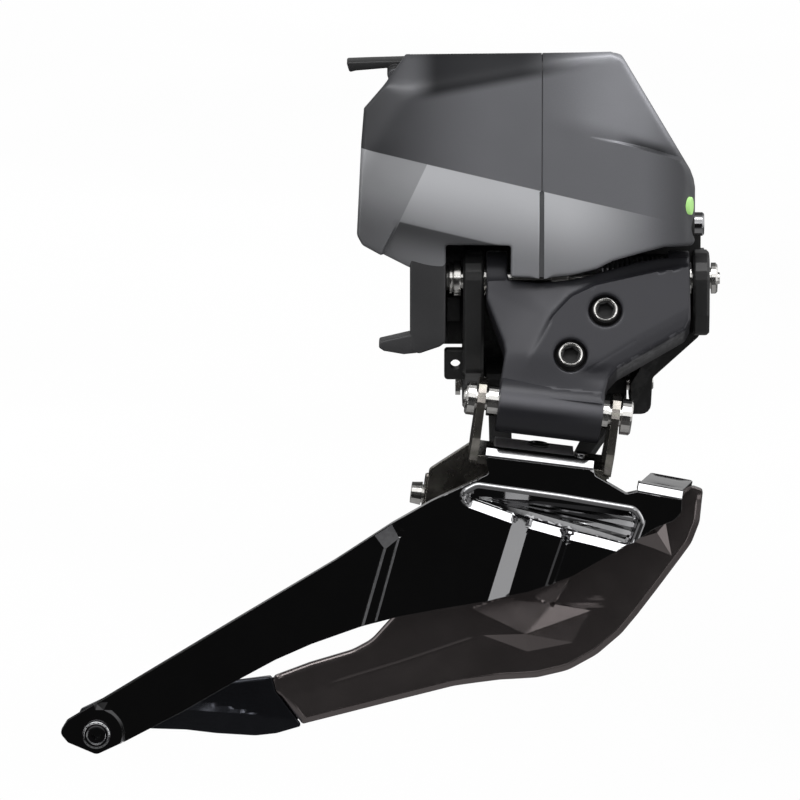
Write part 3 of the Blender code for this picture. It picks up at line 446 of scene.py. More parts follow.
def lathe(origin, axis, profile, segments=48, name="turned", smooth=35.0, twist=0.0):
    """Turns (along, radius) points about axis; radius 0 at both ends makes a bar, else a ring."""
    axis = np.asarray(axis, float) / np.linalg.norm(axis)
    side = np.cross(axis, INBOARD if abs(axis[1]) < 0.9 else AXIS_X)
    side /= np.linalg.norm(side)
    other = np.cross(axis, side)
    t = np.arange(segments) * 2 * math.pi / segments + twist
    ring_dirs = np.outer(np.cos(t), side) + np.outer(np.sin(t), other)
    closed = profile[0][1] > 1e-6
    verts, rows = [], []
    for along, radius in profile:
        if radius <= 1e-6:
            rows.append([len(verts)])
            verts.append(np.asarray(origin, float) + axis * along)
        else:
            rows.append(list(range(len(verts), len(verts) + segments)))
            verts.extend(np.asarray(origin, float) + axis * along + ring_dirs * radius)
    faces = []
    pairs = list(zip(rows, rows[1:])) + ([(rows[-1], rows[0])] if closed else [])
    for one, two in pairs:
        for k in range(segments):
            m = (k + 1) % segments
            if len(one) == 1 and len(two) == 1:
                continue
            if len(one) == 1:
                faces.append((one[0], two[k], two[m]))
            elif len(two) == 1:
                faces.append((one[k], two[0], one[m]))
            else:
                faces.append((one[k], two[k], two[m], one[m]))
    return new_mesh(name, at(verts), faces, smooth)


def soft_profile(profile, r=0.12, n=3):
    """Rounds the corners of a lathe profile that does not touch the axis at that corner."""
    out = []
    count = len(profile)
    for i, p in enumerate(profile):
        p = np.array(p, float)
        if i in (0, count - 1) or p[1] <= 1e-6:
            out.append(tuple(p))
            continue
        a, b = np.array(profile[i - 1], float) - p, np.array(profile[i + 1], float) - p
        la, lb = np.linalg.norm(a), np.linalg.norm(b)
        if la < 1e-6 or lb < 1e-6:
            out.append(tuple(p))
            continue
        reach_ = min(r, 0.45 * la, 0.45 * lb)
        a, b = a / la, b / lb
        p0, p1 = p + a * reach_, p + b * reach_
        for k in range(n + 1):
            t = k / n
            out.append(tuple((1 - t) ** 2 * p0 + 2 * t * (1 - t) * p + t * t * p1))
    return out


def rod(origin, axis, start, end, radius, segments=32):
    return lathe(origin, axis, [(start, 0), (start, radius), (end, radius), (end, 0)], segments)


def box(x0, x1, y0, y1, z0, z1):
    return prism([(x0, z0), (x1, z0), (x1, z1), (x0, z1)], y0, y1)


def hex_hole(origin, axis, start, end, across, turn=0.0):
    t = np.arange(6) * math.pi / 3 + turn
    r = across / math.sqrt(3)
    axis = np.asarray(axis, float) / np.linalg.norm(axis)
    side = np.cross(axis, INBOARD if abs(axis[1]) < 0.9 else AXIS_X)
    side /= np.linalg.norm(side)
    other = np.cross(axis, side)
    return prism(np.stack((r * np.cos(t), r * np.sin(t)), 1), start, end, plane_place(origin, side, other, axis))


def tubes(name, path, radius, sides=10, smooth=60.0):
    """A closed round wire along a path of points."""
    path = np.asarray(path, float)
    tan = np.gradient(path, axis=0)
    tan /= np.linalg.norm(tan, axis=1)[:, None]
    ref = np.array((0.2, 0.3, 0.93))
    u = np.cross(tan, ref)
    u /= np.linalg.norm(u, axis=1)[:, None]
    w = np.cross(tan, u)
    t = np.arange(sides) * 2 * math.pi / sides
    verts = (path[:, None] + radius * (np.cos(t)[None, :, None] * u[:, None] + np.sin(t)[None, :, None] * w[:, None])).reshape(-1, 3)
    faces = []
    n = len(path)
    for i in range(n - 1):
        for k in range(sides):
            m = (k + 1) % sides
            faces.append((i * sides + k, i * sides + m, (i + 1) * sides + m, (i + 1) * sides + k))
    faces.append(tuple(range(sides))[::-1])
    faces.append(tuple((n - 1) * sides + k for k in range(sides)))
    return new_mesh(name, at(verts), faces, smooth)


# ------------------------------------------------------------------ materials
class Net:
    """A small helper for node graphs."""

    def __init__(self, tree):
        self.tree = tree
        self.x = 0

    def node(self, kind, **values):
        n = self.tree.nodes.new(kind)
        self.x += 40
        n.location = (self.x, 0)
        for key, value in values.items():
            if key.startswith("i_"):
                name = key[2:].replace("_", " ")
                sock = n.inputs[int(name)] if name.isdigit() else n.inputs[name]
                if isinstance(value, bpy.types.NodeSocket):
                    self.tree.links.new(value, sock)
                else:
                    sock.default_value = value
            else:
                setattr(n, key, value)
        return n

    def math(self, op, a, b=0.0, clamp=False):
        n = self.node("ShaderNodeMath", operation=op, use_clamp=clamp)
        for i, v in enumerate((a, b)):
            if isinstance(v, bpy.types.NodeSocket):
                self.tree.links.new(v, n.inputs[i])
            else:
                n.inputs[i].default_value = v
        return n.outputs[0]

    def ramp(self, value, lo, hi, out_lo=0.0, out_hi=1.0, smooth=True):
        n = self.node("ShaderNodeMapRange")
        n.interpolation_type = "SMOOTHSTEP" if smooth else "LINEAR"
        self.tree.links.new(value, n.inputs["Value"])
        for key, v in (("From Min", lo), ("From Max", hi), ("To Min", out_lo), ("To Max", out_hi)):
            n.inputs[key].default_value = v
        return n.outputs["Result"]

    def mix(self, factor, a, b):
        n = self.node("ShaderNodeMix", data_type="RGBA")
        for name, v in (("Factor", factor), ("A", a), ("B", b)):
            socks = [s for s in n.inputs if s.name == name and s.enabled]
            sock = socks[0]
            if isinstance(v, bpy.types.NodeSocket):
                self.tree.links.new(v, sock)
            else:
                sock.default_value = v if name == "Factor" else (*v[:3], 1.0)
        return [s for s in n.outputs if s.enabled][0]

    def noise(self, scale, detail=3.0, rough=0.55, coords=None, stretch=None):
        coords = coords or self.node("ShaderNodeTexCoord").outputs["Object"]
        if stretch is not None:
            m = self.node("ShaderNodeMapping")
            self.tree.links.new(coords, m.inputs["Vector"])
            m.inputs["Scale"].default_value = stretch
            coords = m.outputs["Vector"]
        n = self.node("ShaderNodeTexNoise")
        self.tree.links.new(coords, n.inputs["Vector"])
        n.inputs["Scale"].default_value = scale
        n.inputs["Detail"].default_value = detail
        n.inputs["Roughness"].default_value = rough
        return n.outputs["Fac"]


MATS = {}


def surface(name, colour, rough=0.4, metal=0.0, vary=0.10, grain=900.0, grain_bump=0.0015, mottle=60.0,
            wear=0.35, wear_colour=(0.35, 0.35, 0.36), wear_radius=0.10, spec=0.5, coat=0.0, coat_rough=0.1,
            rough_vary=0.10, stretch=None, tint=None, extra=None, round_edges=0.0):
    """A procedural finish: fine grain bump, mottled colour and roughness, worn edges."""
    mat = bpy.data.materials.new(name)
    mat.use_nodes = True
    tree = mat.node_tree
    shader = tree.nodes["Principled BSDF"]
    n = Net(tree)
    coords = n.node("ShaderNodeTexCoord").outputs["Object"]
    fine = n.noise(grain, 4.0, 0.6, coords, stretch)
    broad = n.noise(mottle, 3.0, 0.5, coords)
    dark = tuple(c * (1 - vary) for c in colour)
    light = tuple(min(1.0, c * (1 + vary)) for c in colour)
    base = n.mix(n.ramp(broad, 0.3, 0.7), dark, light)
    base = n.mix(n.ramp(fine, 0.35, 0.65, 0.0, 0.5), base, tuple(c * (1 - vary * 0.8) for c in (tint or colour)))
    if extra is not None:
        base = extra(n, coords, base)
    edge_normal = n.node("ShaderNodeBevel", samples=4, i_Radius=wear_radius * 0.001)
    geo = n.node("ShaderNodeNewGeometry")
    dot = n.node("ShaderNodeVectorMath", operation="DOT_PRODUCT")
    tree.links.new(edge_normal.outputs[0], dot.inputs[0])
    tree.links.new(geo.outputs["Normal"], dot.inputs[1])
    edge = n.ramp(n.math("SUBTRACT", 1.0, dot.outputs["Value"]), 0.02, 0.22)
    convex = n.ramp(geo.outputs["Pointiness"], 0.54, 0.62)
    edge = n.math("MULTIPLY", n.math("MAXIMUM", edge, convex), n.ramp(n.noise(420.0, 5.0, 0.7, coords), 0.42, 0.62))
    edge = n.math("MULTIPLY", edge, wear, clamp=True)
    base = n.mix(edge, base, wear_colour)
    tree.links.new(base, shader.inputs["Base Color"])
    r = n.ramp(n.noise(260.0, 4.0, 0.6, coords), 0.25, 0.75, max(0.02, rough * (1 - rough_vary)), rough * (1 + rough_vary), smooth=False)
    tree.links.new(n.math("SUBTRACT", r, n.math("MULTIPLY", edge, rough * 0.35)), shader.inputs["Roughness"])
    shader.inputs["Metallic"].default_value = metal
    shader.inputs["Specular IOR Level"].default_value = spec
    shader.inputs["Coat Weight"].default_value = coat
    shader.inputs["Coat Roughness"].default_value = coat_rough
    bump = n.node("ShaderNodeBump", i_Strength=0.6, i_Distance=grain_bump * 0.001)
    tree.links.new(fine, bump.inputs["Height"])
    if round_edges:
        soft = n.node("ShaderNodeBevel", samples=4, i_Radius=round_edges * 0.001)
        tree.links.new(soft.outputs[0], bump.inputs["Normal"])
    tree.links.new(bump.outputs[0], shader.inputs["Normal"])
    MATS[name] = mat
    return mat


def object_mm(n, coords):
    """Pivot-frame millimetres from object coordinates, as separate sockets."""
    m = n.node("ShaderNodeMapping")
    n.tree.links.new(coords, m.inputs["Vector"])
    m.inputs["Scale"].default_value = (1000, 1000, 1000)
    m.inputs["Location"].default_value = tuple(PAD)
    s = n.node("ShaderNodeSeparateXYZ")
    n.tree.links.new(m.outputs["Vector"], s.inputs[0])
    return s.outputs[0], s.outputs[1], s.outputs[2]


def lin(n, x, z, ax, az, c):
    """ax*x + az*z + c."""
    return n.math("ADD", n.math("ADD", n.math("MULTIPLY", x, ax), n.math("MULTIPLY", z, az)), c)


SOCKETS = {}
BAND = ((-31.8, 22.7), (16.3, 11.3))


def shell_colour(n, coords, base):
    """Two-tone finish: a lighter band sweeps along the lower part of the outboard face. Painted shading is laid over
    it: painted shade at the rear, on the upper facet, the front edge and the hollows, and a painted highlight on the
    upper front.
    """
    x, y, z = object_mm(n, coords)
    (x0, z0), (x1, z1) = BAND
    slope = (z1 - z0) / (x1 - x0)
    above = lin(n, x, z, -slope, 1.0, -(z0 - slope * x0))
    band = n.ramp(above, -0.06, 0.06, 1.0, 0.0)
    outboard = n.ramp(y, -4.6, -3.8, 1.0, 0.0)
    fade_front = n.ramp(x, 0.0, 17.5, 1.0, 0.0)
    band = n.math("MULTIPLY", n.math("MULTIPLY", band, outboard), fade_front)
    # the band is brightest just under its upper line and falls off downwards, partly a gradient in the print and partly
    # painted shade
    fall = n.ramp(above, -13.0, -1.0, 0.22, 1.0)
    band = n.math("MULTIPLY", band, fall)
    # the panel behind the sloping line at the rear is a shade darker
    rear = lin(n, x, z, -0.9043, 0.4270, -(-0.9043 * -22.7 + 0.4270 * 17.2))
    rear = n.ramp(rear, -0.08, 0.08, 1.0, 0.55)
    band = n.math("MULTIPLY", band, rear)
    def times(colour, factor, value):
        mul = n.node("ShaderNodeMix", data_type="RGBA", blend_type="MULTIPLY")
        socks = {k.name: k for k in mul.inputs if k.enabled}
        n.tree.links.new(factor, socks["Factor"])
        n.tree.links.new(colour, socks["A"])
        socks["B"].default_value = (value, value, value, 1.0)
        return [k for k in mul.outputs if k.enabled][0]

    # painted shading: the rear is painted darker, the upper front painted lighter as if lit, and the front edge painted
    # dark again where it turns away from the light
    base = times(base, n.ramp(x, -10.0, -34.0), 0.20)
    lit = n.math("MULTIPLY", n.ramp(x, -4.0, 10.0), n.ramp(lin(n, x, z, 0.26, 1.0, 0.0), 25.5, 29.0))
    base = times(base, lit, 1.8)
    base = times(base, n.ramp(x, 12.5, 20.5), 0.42)
    # painted shade: the upper facet is painted dark for the dark surroundings it reflects; the same mask lowers its
    # specular and metallic further down
    facet = n.ramp(lin(n, x, z, -0.189, 0.982, -36.25), -2.6, -0.8)
    facet = n.math("MULTIPLY", n.math("MULTIPLY", facet, n.ramp(x, 9.0, -7.0)), n.ramp(x, -25.0, -19.5))
    facet = n.math("MULTIPLY", facet, n.ramp(y, 2.5, -1.0))
    base = times(base, facet, 0.16)
    SOCKETS["facet"] = facet
    # shaded hollow above the front crease and under the sloping line at the rear
    hollow_at = lin(n, x, z, 0.2811, 0.9597, -0.2811 * 9.0 - 0.9597 * 23.65)
    hollow_at = n.math("MULTIPLY", n.ramp(hollow_at, 0.0, 0.25), n.ramp(hollow_at, 2.2, 0.5))
    hollow_at = n.math("MULTIPLY", n.math("MULTIPLY", hollow_at, n.ramp(x, 8.5, 13.0)), n.ramp(x, 19.0, 15.5))
    base = times(base, hollow_at, 0.30)
    out = n.mix(band, base, (0.78, 0.79, 0.82))
    # painted shade under the lower crease line of the band, deepest just below it
    under = lin(n, x, z, -0.236, -0.972, -0.236 * 25.3 + 0.972 * 10.98)
    ahead = lin(n, x, z, 0.9043, -0.4270, 0.9043 * 22.7 + 0.4270 * 17.2)
    under = n.math("MULTIPLY", n.math("MULTIPLY", n.ramp(under, 0.0, 0.35), n.ramp(under, 6.0, 0.5)), n.math("MULTIPLY", n.ramp(ahead, 0.0, 0.1), n.ramp(x, -7.5, -8.5)))
    return times(out, under, 0.30)


surface("shell_grey", (0.225, 0.228, 0.245), rough=0.42, metal=0.25, vary=0.06, grain=5200.0, grain_bump=0.004, mottle=40.0,
        wear=0.22, wear_colour=(0.30, 0.30, 0.31), spec=0.45, extra=shell_colour)
shell = MATS["shell_grey"].node_tree
shell_net = Net(shell)
shell.links.new(shell_net.math("SUBTRACT", 0.42, shell_net.math("MULTIPLY", SOCKETS["facet"], 0.38)), shell.nodes["Principled BSDF"].inputs["Specular IOR Level"])
shell.links.new(shell_net.math("SUBTRACT", 0.25, shell_net.math("MULTIPLY", SOCKETS["facet"], 0.20)), shell.nodes["Principled BSDF"].inputs["Metallic"])
def link_painted_highlight(n, coords, base):
    """A painted highlight: the roll's crown is painted a little brighter."""
    x, y, z = object_mm(n, coords)
    at_crown = lin(n, x, z, 0.1263, 1.0, 17.1 + 0.1263 * 1.8)
    band = n.math("MULTIPLY", n.ramp(at_crown, 1.9, 0.2), n.ramp(at_crown, -1.7, -0.2))
    band = n.math("MULTIPLY", band, n.ramp(y, -12.0, -13.5))
    return n.mix(band, base, (0.125, 0.125, 0.138))


# the link's lighter worn edges are partly wear and partly a painted highlight along its convex edges
surface("link_grey", (0.031, 0.031, 0.036), rough=0.33, metal=0.25, spec=0.28, vary=0.03, rough_vary=0.05, grain=4200.0, grain_bump=0.004, mottle=70.0,
        wear=0.30, wear_colour=(0.30, 0.30, 0.32), extra=link_painted_highlight)
surface("cast_black", (0.020, 0.020, 0.0205), rough=0.42, metal=0.15, vary=0.18, grain=2600.0, grain_bump=0.010, mottle=120.0,
        wear=0.35, wear_colour=(0.11, 0.11, 0.11), round_edges=0.22)
surface("black_plastic", (0.020, 0.020, 0.021), rough=0.46, vary=0.14, grain=3000.0, grain_bump=0.012, mottle=90.0,
        wear=0.25, wear_colour=(0.07, 0.07, 0.07), round_edges=0.15)
surface("cradle_plastic", (0.040, 0.040, 0.042), rough=0.48, vary=0.12, grain=3000.0, grain_bump=0.012, mottle=90.0,
        wear=0.25, wear_colour=(0.10, 0.10, 0.10), round_edges=0.15)
surface("seam_grey", (0.105, 0.106, 0.112), rough=0.55, vary=0.08, grain=3000.0, grain_bump=0.010, mottle=120.0,
        wear=0.1, wear_colour=(0.2, 0.2, 0.2))
surface("rubber_black", (0.010, 0.010, 0.010), rough=0.75, vary=0.2, grain=2600.0, grain_bump=0.02, mottle=150.0,
        wear=0.1, wear_colour=(0.05, 0.05, 0.05))
surface("steel", (0.63, 0.62, 0.60), rough=0.20, metal=1.0, vary=0.06, grain=2500.0, grain_bump=0.004, mottle=200.0,
        wear=0.3, wear_colour=(0.80, 0.79, 0.78), rough_vary=0.25, round_edges=0.08)
surface("steel_dark", (0.30, 0.30, 0.31), rough=0.30, metal=1.0, vary=0.10, grain=3000.0, grain_bump=0.006, mottle=200.0,
        wear=0.3, wear_colour=(0.55, 0.55, 0.55), rough_vary=0.25)
surface("thread_black", (0.035, 0.034, 0.034), rough=0.30, metal=0.6, vary=0.15, grain=2500.0, grain_bump=0.006,
        wear=0.4, wear_colour=(0.30, 0.30, 0.30))
# painted reflection: a lighter copy of the plate's dark finish for the fold faces, which reflect light
surface("fold_painted_reflection", (0.125, 0.125, 0.130), rough=0.40, metal=0.25, vary=0.05, grain=3000.0, grain_bump=0.003, mottle=60.0,
        wear=0.2, wear_colour=(0.35, 0.35, 0.36))
# painted reflection: the outer plate's top flange gets a much lighter copy of the plate's dark finish, standing in for
# the light it reflects
surface("lid_painted_reflection", (0.50, 0.49, 0.52), rough=0.36, metal=0.40, vary=0.05, grain=3000.0, grain_bump=0.003, mottle=60.0,
        wear=0.3, wear_colour=(0.40, 0.40, 0.42))
surface("bracket_steel", (0.29, 0.268, 0.252), rough=0.28, metal=1.0, vary=0.08, grain=1400.0, grain_bump=0.005, mottle=120.0,
        wear=0.3, wear_colour=(0.62, 0.58, 0.54), rough_vary=0.25, stretch=(0.15, 1.0, 1.0), tint=(0.36, 0.37, 0.30), round_edges=0.12)
surface("cage_black", (0.22, 0.22, 0.225), rough=0.10, metal=1.0, vary=0.05, grain=2500.0, grain_bump=0.0006, mottle=50.0,
        wear=0.25, wear_colour=(0.45, 0.45, 0.45), rough_vary=0.2, wear_radius=0.06)
surface("cage_brown", (0.185, 0.163, 0.161), rough=0.20, metal=0.80, vary=0.06, grain=2600.0, grain_bump=0.0012, mottle=50.0,
        wear=0.3, wear_colour=(0.42, 0.36, 0.35), rough_vary=0.2, wear_radius=0.06)
surface("tail_blue_black", (0.080, 0.084, 0.098), rough=0.17, metal=0.90, vary=0.06, grain=2600.0, grain_bump=0.0012, mottle=50.0,
        wear=0.3, wear_colour=(0.38, 0.39, 0.44), rough_vary=0.2, wear_radius=0.06)
surface("spring_dark", (0.10, 0.10, 0.105), rough=0.32, metal=0.9, vary=0.12, grain=3000.0, grain_bump=0.006, wear=0.3, wear_colour=(0.35, 0.35, 0.35))
surface("button_gloss", (0.32, 0.32, 0.33), rough=0.12, metal=1.0, vary=0.06, grain=2500.0, grain_bump=0.002, wear=0.3, wear_colour=(0.6, 0.6, 0.6), round_edges=0.15)
surface("brass", (0.72, 0.54, 0.24), rough=0.25, metal=1.0, vary=0.08, grain=1800.0, grain_bump=0.004, mottle=150.0, wear=0.2, wear_colour=(0.85, 0.70, 0.40))
surface("board_green", (0.02, 0.12, 0.05), rough=0.35, vary=0.2, grain=1200.0, grain_bump=0.01, mottle=300.0, wear=0.1, wear_colour=(0.1, 0.2, 0.1))
surface("gear_white", (0.75, 0.74, 0.70), rough=0.40, vary=0.05, grain=1500.0, grain_bump=0.004, mottle=150.0, wear=0.1, wear_colour=(0.8, 0.8, 0.78))


def lens_material():
    mat = surface("led_green", (0.50, 0.86, 0.32), rough=0.15, vary=0.08, grain=1500.0, grain_bump=0.002, wear=0.0)
    shader = mat.node_tree.nodes["Principled BSDF"]
    shader.inputs["Emission Color"].default_value = (0.45, 0.85, 0.25, 1)
    shader.inputs["Emission Strength"].default_value = 0.35
    return mat


lens_material()


def paint(obj, name):
    obj.data.materials.clear()
    obj.data.materials.append(MATS[name])
    return obj


def piece(obj, name, body, mat, *nodes, slot=None):
    obj.name = name
    obj.data.name = name
    paint(obj, mat)
    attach(obj, body)
    if nodes:
        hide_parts(*nodes)
    return obj


MOUNT, LINK, CAGE = "mount_assembly", "outer_link", "cage"

# ================================================================== housing
def poly_form(planes, low, high):
    """A convex cutter bounded by planes (point, normal), cut from a box."""
    bm = bmesh.new()
    lo, hi = at(low), at(high)
    corners = [bm.verts.new((x, y, z)) for x in (lo[0], hi[0]) for y in (lo[1], hi[1]) for z in (lo[2], hi[2])]
    for f in ((0, 1, 3, 2), (4, 6, 7, 5), (0, 4, 5, 1), (2, 3, 7, 6), (0, 2, 6, 4), (1, 5, 7, 3)):
        bm.faces.new([corners[i] for i in f])
    bmesh.ops.recalc_face_normals(bm, faces=bm.faces)
    for point, normal in planes:
        nv = Vector(normal).normalized()
        bmesh.ops.bisect_plane(bm, geom=list(bm.verts) + list(bm.edges) + list(bm.faces), dist=1e-9,
                               plane_co=Vector(at(point)), plane_no=nv, clear_outer=True)
        bmesh.ops.holes_fill(bm, edges=[e for e in bm.edges if e.is_boundary], sides=0)
    bmesh.ops.recalc_face_normals(bm, faces=bm.faces)
    mesh = bpy.data.meshes.new("form")
    bm.to_mesh(mesh)
    bm.free()
    obj = bpy.data.objects.new("form", mesh)
    bpy.context.scene.collection.objects.link(obj)
    return obj


def top_z(x):
    """Height of the housing's ridge, less a narrow flat."""
    ridge = 38.141 + 0.04756 * x
    front = 38.86 - 0.0096 * (x + 24.0)
    return np.minimum(ridge, front) - 0.28


def facet_line(x0, x1, d):
    """Parallel to the lower edge of the upper facet, d above it."""
    z = lambda x: 38.3 + 0.19255 * (x - 7.2)
    return [(x0 - 0.189 * d, z(x0) + 0.982 * d), (x1 - 0.189 * d, z(x1) + 0.982 * d)]


CREASE = ((1.4, 24.75), (5.0, 24.45), (9.0, 23.65), (13.6, 22.5), (18.9, 20.75), (21.4, 19.6))


def housing_front_y(p):
    x, z = p[:, 0], p[:, 1]
    base = -7.0 + 0.00022 * (x - 4.0) ** 2
    upper = -7.0 + (225.4 * (z - 38.3) - 43.4 * (x - 7.2)) / 151.6
    y = smax(base, upper, 2.4)
    corner = -7.0 + 0.42 * ((-0.868) * (x + 23.4) + 0.496 * (z - 32.6))
    y = smax(y, corner, 0.5)
    y = smax(y, -7.0 + 0.463 * (x - 19.3), 2.2)
    y = smax(y, -5.9 + 1.333 * (x - 21.1), 1.6)
    # the face rolls under towards its lower edge
    y = y + 0.0042 * np.maximum(15.0 - z, 0) ** 2 * step_up(x, -22.0, -12.0)
    # facet under the sloping line at the rear, and the cheek behind it
    lower = -0.236 * (x + 25.3) - 0.972 * (z - 10.98)
    cheek = -0.9043 * (x + 22.7) + 0.4270 * (z - 17.2)
    facet = 0.30 * np.maximum(lower, 0) * step_up(-x, 7.5, 12.0)
    facet = np.where(cheek < 0, facet, facet * 0.0)
    y = y + smax(facet, np.zeros_like(y), 0.12) - 0.03
    y = y + 0.10 * np.maximum(cheek, 0) * step_up(-z, -24.0, -15.0)
    # front crease: the surface above it dips in
    d, share = side_of(p, CREASE)
    deep = 1.15 * step_up(share, 0.05, 0.95)
    above = np.where(d > 0, np.exp(-np.maximum(d, 0) / (1.2 + 3.2 * share)) * step_up(d, 0.0, 0.35), 0.0)
    y = y + deep * above * step_up(x, 0.5, 3.0)
    return y


def housing_back_y(p):
    x, z = p[:, 0], p[:, 1]
    y = np.full(len(p), 18.0)
    y = smin(y, 18.0 - 0.75 * (z - 27.0), 1.2)
    y = smin(y, 15.0 - 1.136 * (x - 21.5), 1.2)
    y = smin(y, 18.0 + 0.577 * (x + 21.0), 0.8)
    y = smin(y, 16.8 + 1.333 * (z - 6.6), 0.8)
    y = smin(y, -4.0 - ((x - 19.8) * 0.859 + (z - 20.5) * 0.512) / 0.118, 1.0)
    y = smin(y, -4.0 - ((x - 9.4) * 0.5 + (z - 37.7) * 0.866) / 0.20, 1.0)
    y = smin(y, (730.0 * (37.0 - z) - 7.0 * (x + 24.0)) / 193.5, 2.0)
    return y


def inner_planes(inset):
    faces = [
        ((-24.0, 0, 0), (-1, 0, 0)), ((21.5, 0, 0), (1, 0, 0)), ((0, 0, 6.6), (0, 0, -1)), ((0, -6.4, 0), (0, -1, 0)), ((0, 18.0, 0), (0, 1, 0)),
        ((-24.0, 0.0, 37.0), (7.0, 193.5, 730.0)), ((7.2, -7.0, 38.3), (-43.4, -151.6, 225.4)),
        ((19.8, -6.0, 20.5), (0.859, 0.118, 0.512)), ((21.1, 0, 17.6), (0.96, 0.0, 0.28)), ((9.4, -6.0, 37.7), (0.50, 0.20, 0.866)),
        ((19.3, -7.0, 0), (0.42, -0.907, 0)), ((21.1, -5.9, 0), (0.80, -0.60, 0)), ((0, 18.0, 27.0), (0, 0.80, 0.60)),
        ((21.5, 15.0, 0), (0.75, 0.66, 0)), ((-21.0, 18.0, 0), (-0.5, 0.866, 0)), ((0, 16.8, 6.6), (0, 0.6, -0.8)),
    ]
    out = []
    for point, normal in faces:
        nv = np.array(normal, float)
        nv /= np.linalg.norm(nv)
        out.append((np.array(point, float) - nv * inset, nv))
    return out


def thin_back(p):
    return housing_front_y(p) + 1.5


def seam_soft(p, x_seam, side):
    """Rim radius: small along the seam, full elsewhere."""
    near = np.abs(p[:, 0] - x_seam)
    return 0.14 + 0.86 * step_up(near, 0.5, 1.6)


xs = np.linspace(-24.0, -3.06, 9)
REAR_OUT = rounded(
    [(-3.36, 15.7), (-3.04, 16.0), (-3.04, float(top_z(-3.04)))]
    + [(float(x), float(top_z(x))) for x in xs[::-1][1:-1]]
    + [(-24.7, float(top_z(-24.7)), 0.5), (-31.35, 28.75, 0.5), (-31.8, 23.2), (-32.5, 8.5, 1.8), (-31.6, 6.9, 1.2), (-24.4, 3.1), (-18.3, 0.6, 0.3),
       (-18.3, 6.9, 0.5), (-7.9, 6.9, 0.5), (-7.9, 1.75, 0.3), (-3.36, 1.55)]
)
REAR_THICK = [(-3.04, float(top_z(-3.04))), (-3.04, 16.0), (-3.36, 15.7), (-3.36, 7.1), (-23.9, 7.1), (-23.9, float(top_z(-23.9)))]
rear_thick = np.array([(-3.04, float(top_z(-3.04)) + 0.0)] + [(-3.04, 16.0), (-3.36, 15.7), (-3.36, 7.1), (-24.0, 7.1), (-24.0, float(top_z(-24.0)))])
rear = relief(
    "housing_rear_shell", REAR_OUT, housing_front_y, thin_back, step=0.85, edge=0.5, rf=0.55, rb=0.3,
    lines=[[(-25.3, 10.98), (-16.9, 8.94), (-8.5, 6.95)], [(-22.7, 17.2), (-24.6, 13.2), (-27.75, 6.35)]]
    + [facet_line(-23.6, -3.5, d) for d in (-1.3, -1.0, -0.75, -0.5, -0.25, 0.0, 0.25, 0.5, 0.75, 1.0, 1.3)],
    thick=rear_thick, back_thick=housing_back_y, r_thick=0.5, outset=lambda p: seam_soft(p, -3.2, -1), smooth=28.0,
)
FRONT_OUT = rounded(
    [(-2.62, 1.5), (2.0, 2.0), (5.8, 3.0, 2.0), (8.3, 4.3, 2.0), (13.0, 5.7), (16.6, 6.62), (21.5, 6.62, 0.8), (21.5, 16.2, 2.5), (20.69, 19.0, 3.0),
     (9.75, 37.45, 2.2), (7.9, float(top_z(7.9))), (2.0, float(top_z(2.0))), (-2.92, float(top_z(-2.92))), (-2.92, 16.0), (-2.62, 15.7)], 8,
)
front_thick = np.array([p for p in resample(FRONT_OUT, 0.5) if p[1] >= 6.6 and not (p[0] < 16.0 and p[1] < 7.0)])
front_thick = np.array([(-2.62, 7.1), (16.0, 7.1), (16.6, 6.62), (21.5, 6.62), (21.5, 16.2), (20.69, 19.0), (9.75, 37.45), (7.9, float(top_z(7.9))), (-2.92, float(top_z(-2.92))), (-2.92, 16.0), (-2.62, 15.7)])


def front_is_thick():
    loop = resample(FRONT_OUT, 0.5)
    keep = [tuple(p) for p in loop if p[1] > 7.1 or p[0] > 16.9]
    # starts at the floor line, runs up the front and back along the top to the seam
    start = min(range(len(keep)), key=lambda i: (keep[i][1], keep[i][0]))
    keep = keep[start:] + keep[:start]
    return np.array([(-2.62, 7.1), (16.4, 7.1)] + keep)


front = relief(
    "housing_front_shell", FRONT_OUT, housing_front_y, thin_back, step=0.8, edge=0.5, rf=0.75, rb=0.3,
    lines=[CREASE[:-1] + ((20.4, 20.05),)] + [shifted(CREASE, d)[1:-1] for d in (-0.2, 0.12, 0.24, 0.36, 0.6, 0.95, 1.5, 2.4)] + [facet_line(-2.5, 4.6 - max(d, 0) * 4, d) for d in (-1.3, -1.0, -0.75, -0.5, -0.25, 0.0, 0.25, 0.5, 0.75, 1.0)], thick=front_is_thick(), back_thick=housing_back_y, r_thick=0.5,
    fine=[([(1.0, 20.0), (20.5, 16.5), (20.5, 24.0), (14.0, 29.0), (1.0, 28.0)], 0.42)],
    outset=lambda p: seam_soft(p, -2.75, 1), smooth=28.0,
)

hollow = poly_form(inner_planes(1.7), (-40, -30, 0), (40, 30, 50))
hollow_front = hollow.copy()
hollow_front.data = hollow.data.copy()
bpy.context.scene.collection.objects.link(hollow_front)
rear = cut(rear, union(hollow, box(-26, -21.5, 3.2, 12.8, 12.2, 20.8), box(-8.5, 0.0, -4.4, 12.4, 3.0, 9.5)), smooth=28.0)
front = cut(
    front,
    union(hollow_front, box(-4, 4.5, -5.4, 12.4, 2.0, 9.2), rod((21.5, -2.9, 9.8), AXIS_X, -6, 4, 2.6, 40)),
    smooth=28.0,
)
lug = rounded([(-27.5, 32.0, 1.2), (-23.0, 30.5), (-23.0, 34.4), (-25.4, 34.5, 0.6), (-27.5, 34.5, 1.1)])
rear = join("housing_rear_shell", rear, soft_prism("lug_a", lug, -0.6, 0.6, r=0.2), soft_prism("lug_b", lug, 9.4, 10.6, r=0.2))
LED_AXIS = np.array((0.80, -0.60, 0.0))
LED_AT = np.array((20.86, -6.16, 13.35))
led_place = plane_place(LED_AT, np.array((0.60, 0.80, 0.0)), np.array((0.0, 0.0, 1.0)), LED_AXIS)
